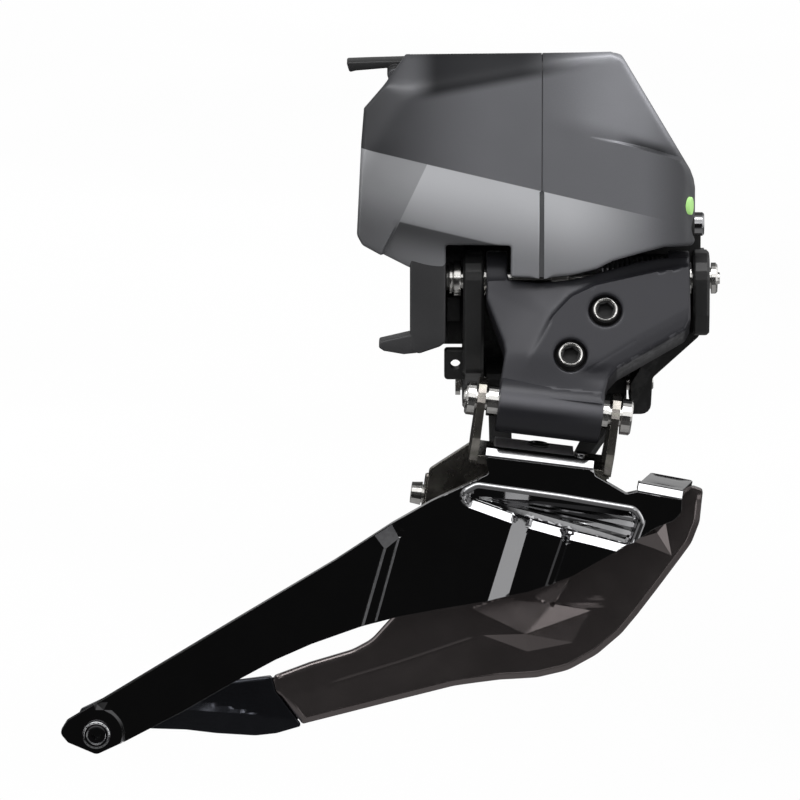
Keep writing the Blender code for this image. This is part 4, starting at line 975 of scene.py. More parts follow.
led_outline = [(0.56 * math.cos(t), 1.45 * math.sin(t)) for t in np.linspace(0, 2 * math.pi, 40, endpoint=False)]
led = soft_prism("led_window", led_outline, -2.0, 0.16, led_place, r=0.14, n=3, edge=0.35)
piece(led, "led_window", MOUNT, "led_green", "led_lens", slot="led_green")
piece(rear, "housing_rear_shell", MOUNT, "shell_grey", "housing_rear", slot="shell_grey")
seam = relief(
    "housing_seam_strip", [(-3.42, 1.75), (-2.56, 1.75), (-2.56, 36.6), (-3.42, 36.6)], lambda p: housing_front_y(p) + 0.26, lambda p: housing_front_y(p) + 0.75,
    step=0.6, edge=0.4, rf=0.02, rb=0.02, rings=1)
piece(seam, "housing_seam_strip", MOUNT, "seam_grey", slot="rubber_black")
gasket = combine(poly_form(inner_planes(0.4), (-40, -30, 0), (40, 30, 50)), "INTERSECT", box(-3.12, -2.84, -20, 30, 0, 50), smooth=30.0)
gasket = cut(gasket, poly_form(inner_planes(1.8), (-40, -30, 0), (40, 30, 50)), smooth=30.0)
piece(gasket, "housing_seal_ring", MOUNT, "rubber_black", "housing_seal", slot="rubber_black")
piece(front, "housing_front_shell", MOUNT, "shell_grey", "housing_front", slot="shell_grey")

BUTTON = (0.0, -2.9, 9.8)
collar = cut(lathe(BUTTON, AXIS_X, soft_profile([(19.4, 0), (19.4, 2.58), (21.44, 2.58), (21.44, 0)], 0.15, 3), 64, "button_collar"), rod(BUTTON, AXIS_X, 18, 23, 2.02, 64), smooth=30)
piece(collar, "button_collar", MOUNT, "rubber_black", "button_seal", slot="rubber_black")
cap = lathe(BUTTON, AXIS_X, soft_profile([(18.9, 0), (18.9, 1.9), (22.75, 1.9), (23.02, 1.62), (23.02, 1.2), (22.92, 1.0), (22.92, 0)], 0.12, 3), 72, "button_cap")
piece(cap, "button_cap", "function_button", "button_gloss", "function_button", slot="black_plastic")

# ================================================================== outer link
# heights are measured along OUT; the relief front is the low side, so heights go in negated
link_place = lambda a, b, h: np.outer(a, AXIS_X) + A * np.array((0, 1, 1)) + np.outer(b, DOWN) + np.outer(-h, OUT)
RIDGE = rounded([(20.9, -0.35), (15.4, 0.7, 6.0), (5.6, 3.0, 5.0), (1.8, 4.9, 3.5), (-1.2, 8.2, 3.5), (-6.3, 18.2)], 8)[1:]
RIDGE = np.concatenate(([(20.9, -0.35)], RIDGE))
GROOVE = ((21.0, 7.0), (12.0, 12.2), (4.6, 16.9), (2.4, 18.3))
roll_s = lambda a: LINK_LEN + 0.1094 * (a - B[0])


def link_top(p):
    a, s = p[:, 0], p[:, 1]
    d, share = side_of(p, RIDGE)
    outside = np.maximum(d, 0)
    high = 5.1
    drop = (0.62 * (1 - step_up(share, 0.5, 1.0)) + 0.10) * (1 - np.exp(-outside / 0.34))
    bowl = (0.075 + 0.03 * step_up(share, 0.35, 0.8)) * outside * (1 - step_up(outside, 3.0, 12.0) * 0.5)
    h = high - np.where(d > 0, drop + bowl, 0.0)
    # rim of the left flank falls off towards the edge
    g, gs = side_of(p, GROOVE)
    below = np.maximum(-g, 0)
    h = h - 0.30 * below * step_up(a, 0.5, 4.0)
    h = h - 0.10 * np.exp(-((g / 0.16) ** 2)) * step_up(a, 1.5, 6.0)
    # scoop where the groove runs out above the roll
    sx, sz = (a - 4.0) / 4.2, (s - 18.0 - 0.11 * (a - 4)) / 1.3
    h = h - 0.45 * np.exp(-(sx * sx + sz * sz))
    # settle onto the roll's crown
    to_roll = step_up(s, roll_s(a) - 7.5, roll_s(a) - 1.9)
    crown = np.sqrt(np.maximum(4.8 ** 2 - (s - roll_s(a)) ** 2, 4.42 ** 2))
    h = h * (1 - to_roll) + crown * to_roll
    return -h


def link_back(p):
    return np.full(len(p), 2.0)


LINK_OUT = rounded(
    [(-11.8, 0.6), (-8.4, 0.6), (-8.0, 1.6, 0.5), (-3.4, 2.0), (2.2, 1.5), (5.8, 0.5), (8.3, -0.2), (12.0, -1.3), (15.4, -2.0), (20.8, -2.4, 0.5),
     (20.8, 8.6, 1.2), (20.0, 10.2, 1.0), (9.0, 16.8, 0.8), (7.6, 18.4, 0.8), (6.9, 21.0), (6.62, float(roll_s(6.62))), (-9.9, float(roll_s(-9.9))),
     (-8.9, 14.0, 1.0), (-9.1, 12.4, 0.8), (-11.8, 4.9, 0.6)], 5,
)


def link_rim(p):
    """No rounding along the joint with the roll."""
    return np.clip(0.02 + step_up(roll_s(p[:, 0]) - p[:, 1], 0.2, 1.2), 0, 1)


panel = relief(
    "link_panel", LINK_OUT, link_top, link_back, holes=[circle(7.2, 7.1, 2.6), circle(1.6, 14.6, 2.6)],
    lines=[RIDGE[1:-1], shifted(RIDGE, 0.18)[1:-1], shifted(RIDGE, 0.4)[1:-1], shifted(RIDGE, 0.8)[1:-1], GROOVE[1:], shifted(GROOVE, 0.16)[1:], shifted(GROOVE, -0.16)[1:]] + [[(-9.6, float(roll_s(-9.6)) - k), (6.5, float(roll_s(6.5)) - k)] for k in (0.3, 0.8, 1.3, 1.88, 2.4)], step=0.42, edge=0.35, rf=0.5, rb=0.2, place=link_place, outset=link_rim, smooth=40.0,
)


def arc_profile(r, a0, a1, lo, hi, soft=0.35):
    return [(lo, 0), (lo, r - soft), (lo + soft * 0.3, r - soft * 0.3), (lo + soft, r), (hi - soft, r), (hi - soft * 0.3, r - soft * 0.3), (hi, r - soft), (hi, 0)]


roll = lathe(B, AXIS_B, arc_profile(4.8, 0, 0, -8.2, 8.5), 96, "roll", 30)
ends = [
    lathe(A, AXIS_X, arc_profile(4.4, 0, 0, -11.8, -8.4), 80, "barrel_rear", 30),
    lathe(A, AXIS_X, arc_profile(4.4, 0, 0, 17.2, 20.8), 80, "barrel_front", 30),
]
roll = cut(roll, rod(B, AXIS_B, -12, 12, 2.9, 48), smooth=30)
ends = [cut(e, rod(A, AXIS_X, -14, 24, 2.9, 48), smooth=30) for e in ends]
link = join("link_panel", panel, roll, *ends)
piece(link, "link_panel", LINK, "link_grey", "outer_link", slot="link_grey")

for label, a, s in (("high", 7.2, 7.1), ("low", 1.6, 14.6)):
    o = A + AXIS_X * a + DOWN * s
    head = lathe(o, OUT, soft_profile([(-2.6, 0), (-2.6, 1.2), (-1.0, 1.55), (5.25, 1.55), (5.25, 1.93), (5.48, 1.93), (5.60, 1.78), (5.48, 1.60), (3.6, 1.58), (3.6, 0)], 0.05, 2), 64, "screw", 30)
    piece(head, "limit_screw_%s_body" % label, "limit_screw_" + label, "steel", "limit_screw_" + label, slot="steel")
    profile = [(3.0, 1.58), (3.0, 2.15)]
    for k in range(5):
        profile += [(3.1 + 0.24 * k, 2.12), (3.22 + 0.24 * k, 2.42)]
    profile += [(4.4, 2.2), (4.75, 2.2), (5.0, 2.1), (5.12, 1.98), (5.12, 1.58)]
    sleeve = lathe(o, OUT, profile, 64, "sleeve", 30)
    piece(sleeve, "limit_screw_%s_sleeve" % label, "limit_screw_" + label, "thread_black", slot="steel")
    # the hex socket insert takes the near-black rubber finish: painted shade inside the socket
    key = lathe(o, OUT, soft_profile([(3.3, 0), (3.3, 1.6), (5.1, 1.6), (5.2, 1.45), (5.05, 1.3), (5.05, 0)], 0.05, 2), 64, "key", 30)
    key = cut(key, hex_hole(o, OUT, 3.85, 6.0, 2.35, 0.26), smooth=30)
    piece(key, "limit_screw_%s_floor" % label, "limit_screw_" + label, "rubber_black", slot="steel")

# ================================================================== battery cradle
cradle = soft_prism("cradle", rounded([(-24.0, 6.3), (-24.0, -10.6, 0.8), (-22.5, -11.0, 1.0), (-19.3, -9.9, 1.0), (-18.3, -9.2, 1.0), (-18.3, 6.3)], 6), -5.0, 16.5, r=0.35, n=4, edge=0.6)
hook = soft_prism("hook", rounded([(-23.6, -7.9), (-24.0, -7.9, 0.8), (-28.9, -9.05, 0.35), (-29.0, -10.0, 0.4), (-28.2, -10.55, 0.5), (-25.0, -11.1, 0.8), (-23.0, -10.9)], 6), -4.95, -1.2, r=0.22, n=4, edge=0.5)
cradle = join("battery_cradle_foot", cradle, hook)
piece(cradle, "battery_cradle_foot", MOUNT, "cradle_plastic", "battery_cradle", slot="black_plastic")
cover = soft_prism("cover", rounded([(-19.0, -11.7, 0.3), (-15.3, -11.7, 0.3), (-15.3, 6.4, 0.3), (-19.0, 6.4, 0.3)], 3), 6.2, 7.6, r=0.15, n=3, edge=0.8)
tile = soft_prism("tile", rounded([(-18.1, -7.2, 0.2), (-15.9, -7.2, 0.2), (-15.9, -3.2, 0.2), (-18.1, -3.2, 0.2)], 3), 2.6, 6.3, r=0.12, n=3, edge=0.6)
piece(join("contact_cover", cover, tile), "contact_cover", MOUNT, "cradle_plastic", slot="black_plastic")
nut = lathe(A, AXIS_X, soft_profile([(-18.2, 0), (-18.2, 2.0), (-17.75, 2.0), (-17.75, 2.55), (-17.2, 2.55), (-17.2, 2.35), (-17.0, 2.35), (-17.0, 2.95), (-15.82, 2.95), (-15.82, 0)], 0.1, 2), 64, "upper_nut")
piece(nut, "upper_pivot_nut_body", MOUNT, "steel", "upper_pivot_nut", slot="steel")

# ================================================================== battery latch
LATCH_PIN = (-26.4, 0.0, 33.4)
arm = soft_prism("arm", rounded([(-34.2, 35.0, 0.3), (-33.7, 33.35, 0.35), (-32.7, 33.6, 0.8), (-27.4, 34.05, 0.6), (-27.0, 33.2), (-25.6, 33.2), (-24.8, 34.4, 0.4), (-24.6, 35.3, 0.3), (-30.0, 35.15, 3.0)], 6), 3.0, 7.4, r=0.22, n=4, edge=0.5)
knuckle = cut(lathe(LATCH_PIN, INBOARD, soft_profile([(1.0, 0), (1.0, 1.25), (9.0, 1.25), (9.0, 0)], 0.2), 40, "knuckle"), rod(LATCH_PIN, INBOARD, 0, 10, 0.97, 28), smooth=30)
latch = join("battery_latch_arm", arm, knuckle)
piece(latch, "battery_latch_arm", "battery_latch", "black_plastic", "battery_latch", slot="black_plastic")

# ================================================================== cage
def tilt(pts, tris, verts):
    """Height interpolated over a small triangle net, zero outside it."""
    out = np.zeros(len(pts))
    for i, j, k in tris:
        a, b, c = (np.array(verts[m][:2], float) for m in (i, j, k))
        h = [verts[m][2] for m in (i, j, k)]
        den = (b[1] - c[1]) * (a[0] - c[0]) + (c[0] - b[0]) * (a[1] - c[1])
        u = ((b[1] - c[1]) * (pts[:, 0] - c[0]) + (c[0] - b[0]) * (pts[:, 1] - c[1])) / den
        v = ((c[1] - a[1]) * (pts[:, 0] - c[0]) + (a[0] - c[0]) * (pts[:, 1] - c[1])) / den
        w = 1 - u - v
        hit = (u >= -1e-6) & (v >= -1e-6) & (w >= -1e-6)
        out = np.where(hit, u * h[0] + v * h[1] + w * h[2], out)
    return out


def net_lines(tris, verts):
    seen, out = set(), []
    for t in tris:
        for i, j in ((t[0], t[1]), (t[1], t[2]), (t[2], t[0])):
            if (min(i, j), max(i, j)) not in seen:
                seen.add((min(i, j), max(i, j)))
                out.append([verts[i][:2], verts[j][:2]])
    return out


BAND_1L = ((-7.7, -37.0), (-12.15, -51.8))
BAND_1R = ((-5.1, -38.0), (-8.95, -51.6))
BAND_2L = ((0.4, -39.1), (-3.35, -50.4))
BAND_2R = ((1.5, -40.0), (-1.55, -49.4))
SLOT_LOW = ((-15.0, -32.7), (-13.4, -33.6), (-7.2, -35.9), (-4.8, -36.8), (1.9, -38.7), (10.9, -40.9))
SLOT = rounded([(-15.9, -32.6, 0.8), (-13.2, -31.2, 1.2), (0.0, -33.1), (11.6, -35.1, 1.2), (12.5, -36.6, 1.0), (10.9, -40.9, 0.8), (1.9, -38.7), (-4.8, -36.8), (-7.2, -35.9), (-13.4, -33.6, 1.0)], 6)
TIP = np.array((-15.4, -32.5))
FAN = [math.radians(a) for a in (-6.4, -8.1, -9.7, -11.3, -12.9, -14.5, -16.1)]
TAIL = np.array((-74.4, -71.8))
CREASE_A = ((-28.0, -41.2), (-31.6, -54.1))
CREASE_B = ((-25.8, -39.4), (-29.5, -53.3))
FACET_V = [(-30.1, -39.2, 0.0), (-26.8, -37.0, 0.0), (-25.8, -39.4, 0.0), (-28.0, -41.2, 0.0)]


def lower_lip(p, d):
    """Share of the up-facing lip below the slot, with gaps where the bands meet it."""
    x = p[:, 0]
    gap1 = step_up(x, -7.25, -7.15) * step_up(-x, 5.0, 5.1)
    gap2 = step_up(x, 0.35, 0.45) * step_up(-x, -1.35, -1.25)
    return (1 - gap1) * (1 - gap2) * step_up(x, -15.2, -14.2)


def plate_front(p):
    x, z = p[:, 0], p[:, 1]
    d1l, _ = side_of(p, BAND_1L)
    d1r, _ = side_of(p, BAND_1R)
    d2l, _ = side_of(p, BAND_2L)
    d2r, _ = side_of(p, BAND_2R)
    drop = 0.72 * np.clip(d1l / np.maximum(d1l - d1r, 1e-6), 0, 1)
    drop = np.where(d1r > 0, 0.72, np.where(d1l < 0, 0.0, drop))
    rib = np.clip(d2l / 0.28, 0, 1) * np.clip(-d2r / 0.28, 0, 1)
    drop = drop - 0.42 * rib
    low, _ = side_of(p, SLOT_LOW)
    drop = drop * (1 - step_up(x, 5.0, 13.0)) * (low < 0.35)
    edge_all = reach(p, SLOT)
    lip = np.clip(1 - edge_all / 1.2, 0, 1) * (low < 0.35) * lower_lip(p, low)
    lip_h = 1.0 * lip * step_up(12.5 - x, 0.0, 1.2)
    h = drop + lip_h
    # pocket
    edge = reach(p, SLOT)
    ins = inside(SLOT, p)
    rel = p - TIP
    dist = np.linalg.norm(rel, axis=1)
    phi = np.arctan2(rel[:, 1], rel[:, 0])
    wave = np.zeros(len(p))
    marks = np.array(FAN)
    levels = [0.0, 1.0, 0.0, 1.0, 0.0, 1.0, 0.0]
    wave = np.interp(-phi, -marks, levels, left=0.0, right=0.0)
    deep = 1.02 + 0.72 * step_up(x, -9.5, -4.0) * (1 - step_up(x, 5.0, 13.0)) + 0.45 * step_up(low, 0.2, 1.6) * step_up(dist, 2.0, 12.0) - 0.42 * wave * step_up(dist, 1.5, 12.0)
    wall = np.clip(edge / np.where(low < 1.0, 0.32, 0.28), 0, 1)
    h = np.where(ins, h * (1 - wall) + deep * wall, h)
    # bead round the upper side of the slot
    bead = np.where(ins, 0.0, np.exp(-(((edge - 0.55) / 0.30) ** 2)))
    upper = step_up(low, -0.3, 1.2)
    h = h - 0.30 * bead * np.maximum(upper, step_up(-x, 14.4, 15.2))
    # stamped steps further back
    da, _ = side_of(p, CREASE_A)
    db, _ = side_of(p, CREASE_B)
    flat = np.where((x < -20) & (x > -36), 1.0, 0.0)
    rise = 0.11 * np.clip(-da / 0.32, 0, 1) + 0.09 * np.clip(-db / 0.26, 0, 1)
    rise = rise * (1 - step_up(-x, 31.0, 60.0))
    h = h + np.where(x < -20, rise, 0.0)
    facet = tilt(p, ((0, 1, 2), (0, 2, 3)), FACET_V)
    h = h + facet * flat
    # round boss at the tail
    r = np.linalg.norm(p - TAIL, axis=1)
    r = np.where(x < TAIL[0], np.minimum(r, 4.0), r)
    h = h + 0.24 * (1 - np.clip((r - 4.1) / 0.5, 0, 1))
    return -13.0 + h


def plate_back(p):
    return np.maximum(-11.5, plate_front(p) + 1.15)


top_l = cage_top = (float(-1.8 - 9.2 * AXIS_B[0] - 8.76 * UP_B[0]), float(-18.5 + 9.2 * -AXIS_B[2] - 8.76 * UP_B[2]))
top_r = (float(-1.8 + 8.3 * AXIS_B[0] - 8.76 * UP_B[0]), float(-18.5 + 8.3 * AXIS_B[2] - 8.76 * UP_B[2]))
PLATE = rounded(
    [top_r, top_l, (-11.4, -28.9, 0.6), (-20.6, -33.4, 3.0), (-26.8, -37.0), (-30.1, -39.2), (-35.8, -43.0), (-52.2, -53.0), (-79.1, -69.6, 1.2), (-80.3, -71.6, 1.0),
     (-79.0, -73.2, 0.8), (-74.4, -75.2, 1.2), (-70.6, -73.4), (-60.3, -67.9), (-52.5, -63.3, 8), (-45.6, -59.5, 8), (-39.8, -56.9, 8), (-31.5, -53.9, 8), (-26.0, -52.4, 8), (-19.2, -51.1, 8),
     (-11.5, -49.8, 6), (-4.8, -48.4, 8), (1.8, -46.0, 10), (12.0, -40.0, 2.0), (15.0, -37.9, 2.5), (18.3, -36.5, 1.2), (19.4, -35.2, 1.0), (19.47, -33.17), (12.3, -31.8),
     (10.6, -32.2, 0.8), (5.6, -29.2, 0.5)], 5)
fan_lines = []
for a in FAN:
    s = 2.4
    e = 10.0
    u = np.array((math.cos(a), math.sin(a)))
    while inside(SLOT, np.array([TIP + u * (e + 0.4)]))[0]:
        e += 0.3
    fan_lines.append([tuple(TIP + u * s), tuple(TIP + u * (e - 0.5))])


def trim(line, t0, t1):
    a, b = np.array(line[0], float), np.array(line[-1], float)
    return [tuple(a + (b - a) * t0), tuple(a + (b - a) * t1)]


plate_lines = [
    shifted(SLOT_LOW, -1.25)[1:4], shifted(SLOT_LOW, 0.32)[1:-1], trim(BAND_1L, 0.06, 0.86), trim(BAND_1R, 0.06, 0.86),
    trim(BAND_2L, 0.06, 0.84), trim(shifted(BAND_2L, 0.28), 0.08, 0.84), trim(BAND_2R, 0.06, 0.84), trim(shifted(BAND_2R, -0.28), 0.08, 0.84),
    trim(CREASE_A, 0.02, 0.97), trim(shifted(CREASE_A, -0.32), 0.02, 0.97), trim(CREASE_B, 0.02, 0.97), trim(shifted(CREASE_B, -0.26), 0.04, 0.97),
    [FACET_V[2][:2], FACET_V[3][:2]], [(-26.65, -37.35), FACET_V[2][:2]],
    rounded(list(SLOT))[:, :2],
    [tuple(TAIL + 4.1 * np.array((math.cos(t), math.sin(t)))) for t in np.linspace(-0.75, 0.95, 12)],
    [tuple(TAIL + 4.6 * np.array((math.cos(t), math.sin(t)))) for t in np.linspace(-0.6, 0.8, 12)],
] + fan_lines


plate_lines[13] = offset_loop(SLOT, 0.0)
for d in (-0.28, 0.14, 0.28, 0.42, 0.55, 0.68, 0.82, 0.98, 1.2):
    plate_lines.append(offset_loop(SLOT, d))
near_slot = [(-17.5, -30.0), (0.0, -31.2), (14.0, -33.6), (14.4, -38.0), (11.5, -43.6), (2.5, -42.0), (-5.0, -39.5), (-14.5, -36.0)]
plate = relief(
    "outer_plate_sheet", PLATE, plate_front, plate_back, holes=[circle(TAIL[0], TAIL[1], 1.5, 28)], lines=plate_lines, step=1.3, edge=0.6,
    rf=0.14, rb=0.2, fine=[(near_slot, 0.42), ([(-31, -37), (-24, -36), (-25, -55), (-34, -56)], 0.5)], rings=3, smooth=7.0,
    outset=lambda p: 0.4 + 0.6 * step_up(p[:, 1], -34.0, -30.0),
)
yz_cage = lambda a, b, h: B + np.outer(h, AXIS_B) + np.outer(a, INBOARD) + np.outer(b, UP_B)
bend = soft_prism(
    "bend", rounded([(-2.1, -8.80), (-2.1, -8.56, 0.3), (-1.16, -7.4, 0.35), (0.4, -7.4, 0.3), (0.4, -8.7, 0.3), (-0.6, -8.7, 0.1), (-0.6, -8.80)], 12),
    -9.2, 8.3, yz_cage, r=0.12, n=3, edge=0.5,
)
lid = soft_prism("lid", rounded([(-0.6, -7.42, 0.05), (8.1, -7.42, 0.45), (8.1, -8.68, 0.45), (-0.6, -8.68, 0.05)], 5), -7.7, 5.0, yz_cage, r=0.12, n=3, edge=0.5)
lid = cut(lid, rod(B + AXIS_B * -0.6 + INBOARD * 5.0, UP_B, -12, -4, 1.3, 28))
post = lathe(B + AXIS_B * 6.2 + INBOARD * 1.4, UP_B, soft_profile([(-8.8, 0), (-8.8, 1.0), (-6.9, 1.0), (-6.9, 0)], 0.2), 28, "post")
tab_u = np.array((0.982, 0.0, -0.187))
tab_w = np.array((0.187, 0.0, 0.982))
tab_o = np.array((12.3, -13.0, -30.45))
tab_side = lambda a, b, h: tab_o + np.outer(h, tab_u) + np.outer(a, INBOARD) + np.outer(b, tab_w)
tab_bend = soft_prism("tab_bend", rounded([(0.0, -1.36), (0.0, -1.14, 0.25), (0.94, 0.0, 0.35), (2.6, 0.0, 0.2), (2.6, -1.3, 0.05), (1.5, -1.3, 0.05), (1.5, -1.36)], 10), 0.25, 7.55, tab_side, r=0.10, n=3, edge=0.5)
tab_top = soft_prism("tab_top", rounded([(0.5, 1.6), (7.55, 1.6), (9.5, 10.3, 0.6), (2.5, 10.3, 0.6)], 5), -1.28, -0.02, plane_place(tab_o, tab_u, INBOARD, tab_w), r=0.12, n=3, edge=0.5)
# the flange lid takes the lighter painted-reflection copy of the plate finish
piece(lid, "outer_plate_lid", CAGE, "lid_painted_reflection", slot="cage_black")
low_screw = lathe(
    B + AXIS_B * -0.6 + INBOARD * 5.0, UP_B,
    soft_profile([(-10.3, 0), (-10.3, 1.2), (-7.5, 1.2), (-7.42, 1.75), (-7.12, 1.75), (-6.96, 1.5), (-6.96, 1.0), (-7.3, 0.92), (-7.3, 0)], 0.06, 2), 56, "bracket_screw")
piece(low_screw, "bracket_screw_low", CAGE, "thread_black", "cage_screw_outer", slot="steel")
# thin pads 0.07 mm proud on the outer plate's fold faces, in the lighter material: painted reflection
folds = [
    prism([(-29.6, -39.08), (-26.9, -37.25), (-25.75, -39.4), (-28.0, -41.25)], -13.07, -12.7),
    prism([(-28.2, -41.1), (-27.78, -41.1), (-31.33, -53.75), (-31.75, -53.85)], -13.07, -12.7),
    prism([(-25.98, -39.5), (-25.64, -39.5), (-29.26, -52.95), (-29.62, -53.05)], -13.07, -12.7),
]
piece(join("outer_plate_folds", *folds), "outer_plate_folds", CAGE, "fold_painted_reflection", slot="cage_black")
plate = join("outer_plate_sheet", plate, bend, post, tab_bend, tab_top)
piece(plate, "outer_plate_sheet", CAGE, "cage_black", "outer_plate", slot="cage_black")

# ------------------------------------------------------------------ inner plate
INNER = rounded(
    [(21.6, -33.4, 0.6), (23.2, -34.0, 0.6), (22.7, -39.3, 5), (21.4, -42.8, 6), (19.7, -45.2, 8), (16.0, -50.3), (12.8, -54.6, 8), (10.2, -57.8, 8), (6.2, -61.3, 8), (1.6, -63.9, 8), (-3.4, -65.1, 8),
     (-9.3, -65.5, 12), (-17.0, -66.7, 12), (-25.6, -68.9), (-41.4, -73.0, 0.5), (-45.6, -67.4, 0.8), (-46.2, -65.0, 0.8), (-40.2, -62.7, 8), (-33.3, -60.6, 8), (-30.2, -58.9, 6), (-26.4, -54.6, 8),
     (-21.0, -46.5, 3.0), (-15.0, -36.5, 3.0), (-12.0, -33.4, 1.0), (10.6, -35.9, 1.0), (14.5, -34.0, 1.0), (20.0, -34.2, 0.5)], 6)
GEM_V = [(-9.0, -52.1, 0.45), (-1.0, -52.9, 0.45), (-13.9, -53.6, 0.0), (-5.4, -57.6, -0.78), (5.2, -53.9, 0.0), (-12.2, -58.0, 0.0), (-5.0, -60.7, 0.0), (2.4, -59.2, 0.0), (8.2, -56.8, 0.0), (8.2, -54.2, 0.0),
         (-13.2, -52.2, 0.0), (0.2, -51.9, 0.0)]
GEM_T = [(2, 3, 0), (0, 3, 1), (1, 3, 4), (2, 5, 3), (5, 6, 3), (3, 6, 7), (3, 7, 4), (4, 7, 8), (4, 8, 9)]
TRI_V = [(-3.8, -51.5, 0.0), (1.8, -48.4, 0.0), (-1.0, -52.9, 0.45), (-6.5, -51.3, 0.0)]
TRI_T = [(0, 2, 1)]
FIN_V = [(15.8, -40.7, -1.3), (11.6, -42.3, 0.0), (14.9, -39.4, 0.0), (17.2, -39.4, 0.0), (18.2, -44.8, 0.0), (15.4, -43.6, 0.0)]
FIN_T = [(0, 1, 2), (0, 2, 3), (0, 3, 4), (0, 4, 5), (0, 5, 1)]
SIDE_CREASE = ((-37.1, -66.1), (-25.6, -62.5), (-13.1, -58.2))
RIM = ((21.9, -36.0), (21.5, -40.0), (20.4, -42.9), (15.2, -50.6), (9.4, -57.2), (5.5, -60.4), (1.3, -62.8), (-3.5, -64.0), (-9.4, -64.4), (-17.2, -65.6), (-25.9, -67.8), (-41.0, -71.8))


def outer_side(p):
    """1 along the front and lower edges, 0 along the upper rear edge."""
    x, z = p[:, 0], p[:, 1]
    above = z - (-56.0 + 0.36 * (x + 20.0))
    return np.where(x < -10, step_up(-above, 3.0, 8.0), 1.0)


def inner_front(p):
    x, z = p[:, 0], p[:, 1]
    d = reach(p, INNER)
    side = outer_side(p)
    h = 0.30 * np.clip(1 - d / 0.85, 0, 1) * side * step_up(-z, 34.0, 36.0)
    h = h - 0.055 * np.exp(-(((d - 1.0) / 0.13) ** 2)) * side * step_up(-z, 34.5, 37.0)
    low, share = side_of(p, ((-50.0, -70.15),) + SIDE_CREASE + ((-4.0, -55.0),))
    tilt_low = np.clip(-low, 0, 7) * 0.10 * step_up(-x, 6.0, 16.0)
    h = h + tilt_low + 0.07 * np.exp(-((low / 0.22) ** 2)) * step_up(-x, 12.5, 14.5) * step_up(x, -39.0, -35.0)
    # the front flank bows back towards its edge
    flank = np.clip(3.6 - d, 0, 3.6) ** 2 * 0.011 * step_up(x, 6.0, 14.0) * step_up(-z, 36.0, 44.0)
    h = h + flank
    h = h + tilt(p, GEM_T, GEM_V) + tilt(p, TRI_T, TRI_V) + tilt(p, FIN_T, FIN_V)
    for (x0, z0), (x1, z1) in (((0.6, -51.5), (9.0, -51.9)), ((0.6, -52.9), (9.0, -53.1))):
        t = (x - x0) / (x1 - x0)
        zz = z0 + (z1 - z0) * t
        h = h - 0.10 * np.exp(-(((z - zz) / 0.14) ** 2)) * step_up(t, 0.0, 0.06) * step_up(1 - t, 0.0, 0.35)
    return -2.2 + h


inner_lines = net_lines(GEM_T, GEM_V[:10]) + net_lines(TRI_T, TRI_V)[:2] + net_lines(FIN_T, FIN_V) + [SIDE_CREASE, *[shifted(SIDE_CREASE, k)[:3] for k in (-0.4, -0.2, 0.2, 0.4)], [(-44.0, -68.27), (-37.1, -66.1)]]
for d in (-0.85, -0.93, -1.0, -1.07, -1.18):
    inner_lines.append(offset_loop(INNER, d))
inner = relief(
    "inner_plate_sheet", INNER, inner_front, lambda p: np.full(len(p), -0.7), holes=[], lines=inner_lines, step=0.7, edge=0.5, rf=0.8, rb=0.25,
    fine=[([(-15, -50), (10, -50), (10, -61), (-15, -62)], 0.4), ([(10.5, -38.5), (19.5, -38.5), (19.5, -46), (10.5, -46)], 0.4)],
    outset=lambda p: 0.16 + 0.84 * (1 - outer_side(p)) * step_up(p[:, 0], -45.8, -44.6), rings=5, smooth=6.0,
)
piece(inner, "inner_plate_sheet", CAGE, "cage_brown", "inner_plate", slot="cage_brown")

TAIL_OUT = rounded(
    [(-46.42, -64.9, 0.4), (-45.78, -67.38, 0.6), (-41.55, -73.15, 0.3), (-45.6, -74.4, 2.5), (-49.0, -74.8, 6), (-55.4, -74.4, 8), (-60.3, -73.8, 8), (-66.9, -73.6, 8), (-73.8, -74.6, 1.0), (-77.2, -73.2, 1.0),
     (-77.6, -70.6, 1.0), (-71.0, -67.4, 1.0), (-60.0, -66.2, 6), (-52.5, -65.7, 6)], 6)
FOLD = ((-64.0, -70.1), (-60.3, -70.35), (-47.6, -71.3))


def tail_front(p):
    x, z = p[:, 0], p[:, 1]
    d = reach(p, TAIL_OUT)
    up, share = side_of(p, FOLD + ((-38.0, -72.0),))
    wide = 1.7 * (1 - 0.85 * step_up(x, -60.5, -48.5))
    fold = np.clip(up / wide, 0, 1) * (1 - step_up(x, -54.0, -47.5))
    h = 0.50 * fold + 0.10 * np.clip(-up, 0, 4)
    h = h + 0.012 * np.clip(z + 68.5, 0, 4) ** 2
    return -2.2 + h


tail = relief(
    "inner_tail_sheet", TAIL_OUT, tail_front, lambda p: np.full(len(p), -0.7), holes=[circle(TAIL[0], TAIL[1], 1.5, 24)],
    lines=[FOLD, shifted(FOLD, 0.9)[1:]], step=0.5, edge=0.5, rf=0.5, rb=0.25, rings=5, smooth=6.0,
    outset=lambda p: 0.15 + 0.85 * step_up(p[:, 1], -68.0, -67.0) * step_up(-p[:, 0], 46.8, 47.6),
)
strap = prism([(-47.6, -65.6), (-44.9, -65.2), (-44.6, -67.6), (-41.4, -71.9), (-43.2, -72.9), (-46.8, -68.0)], -0.72, -0.35)
tail = join("inner_tail_sheet", tail, strap)
piece(tail, "inner_tail_sheet", CAGE, "tail_blue_black", "inner_tail", slot="tail_blue_black")

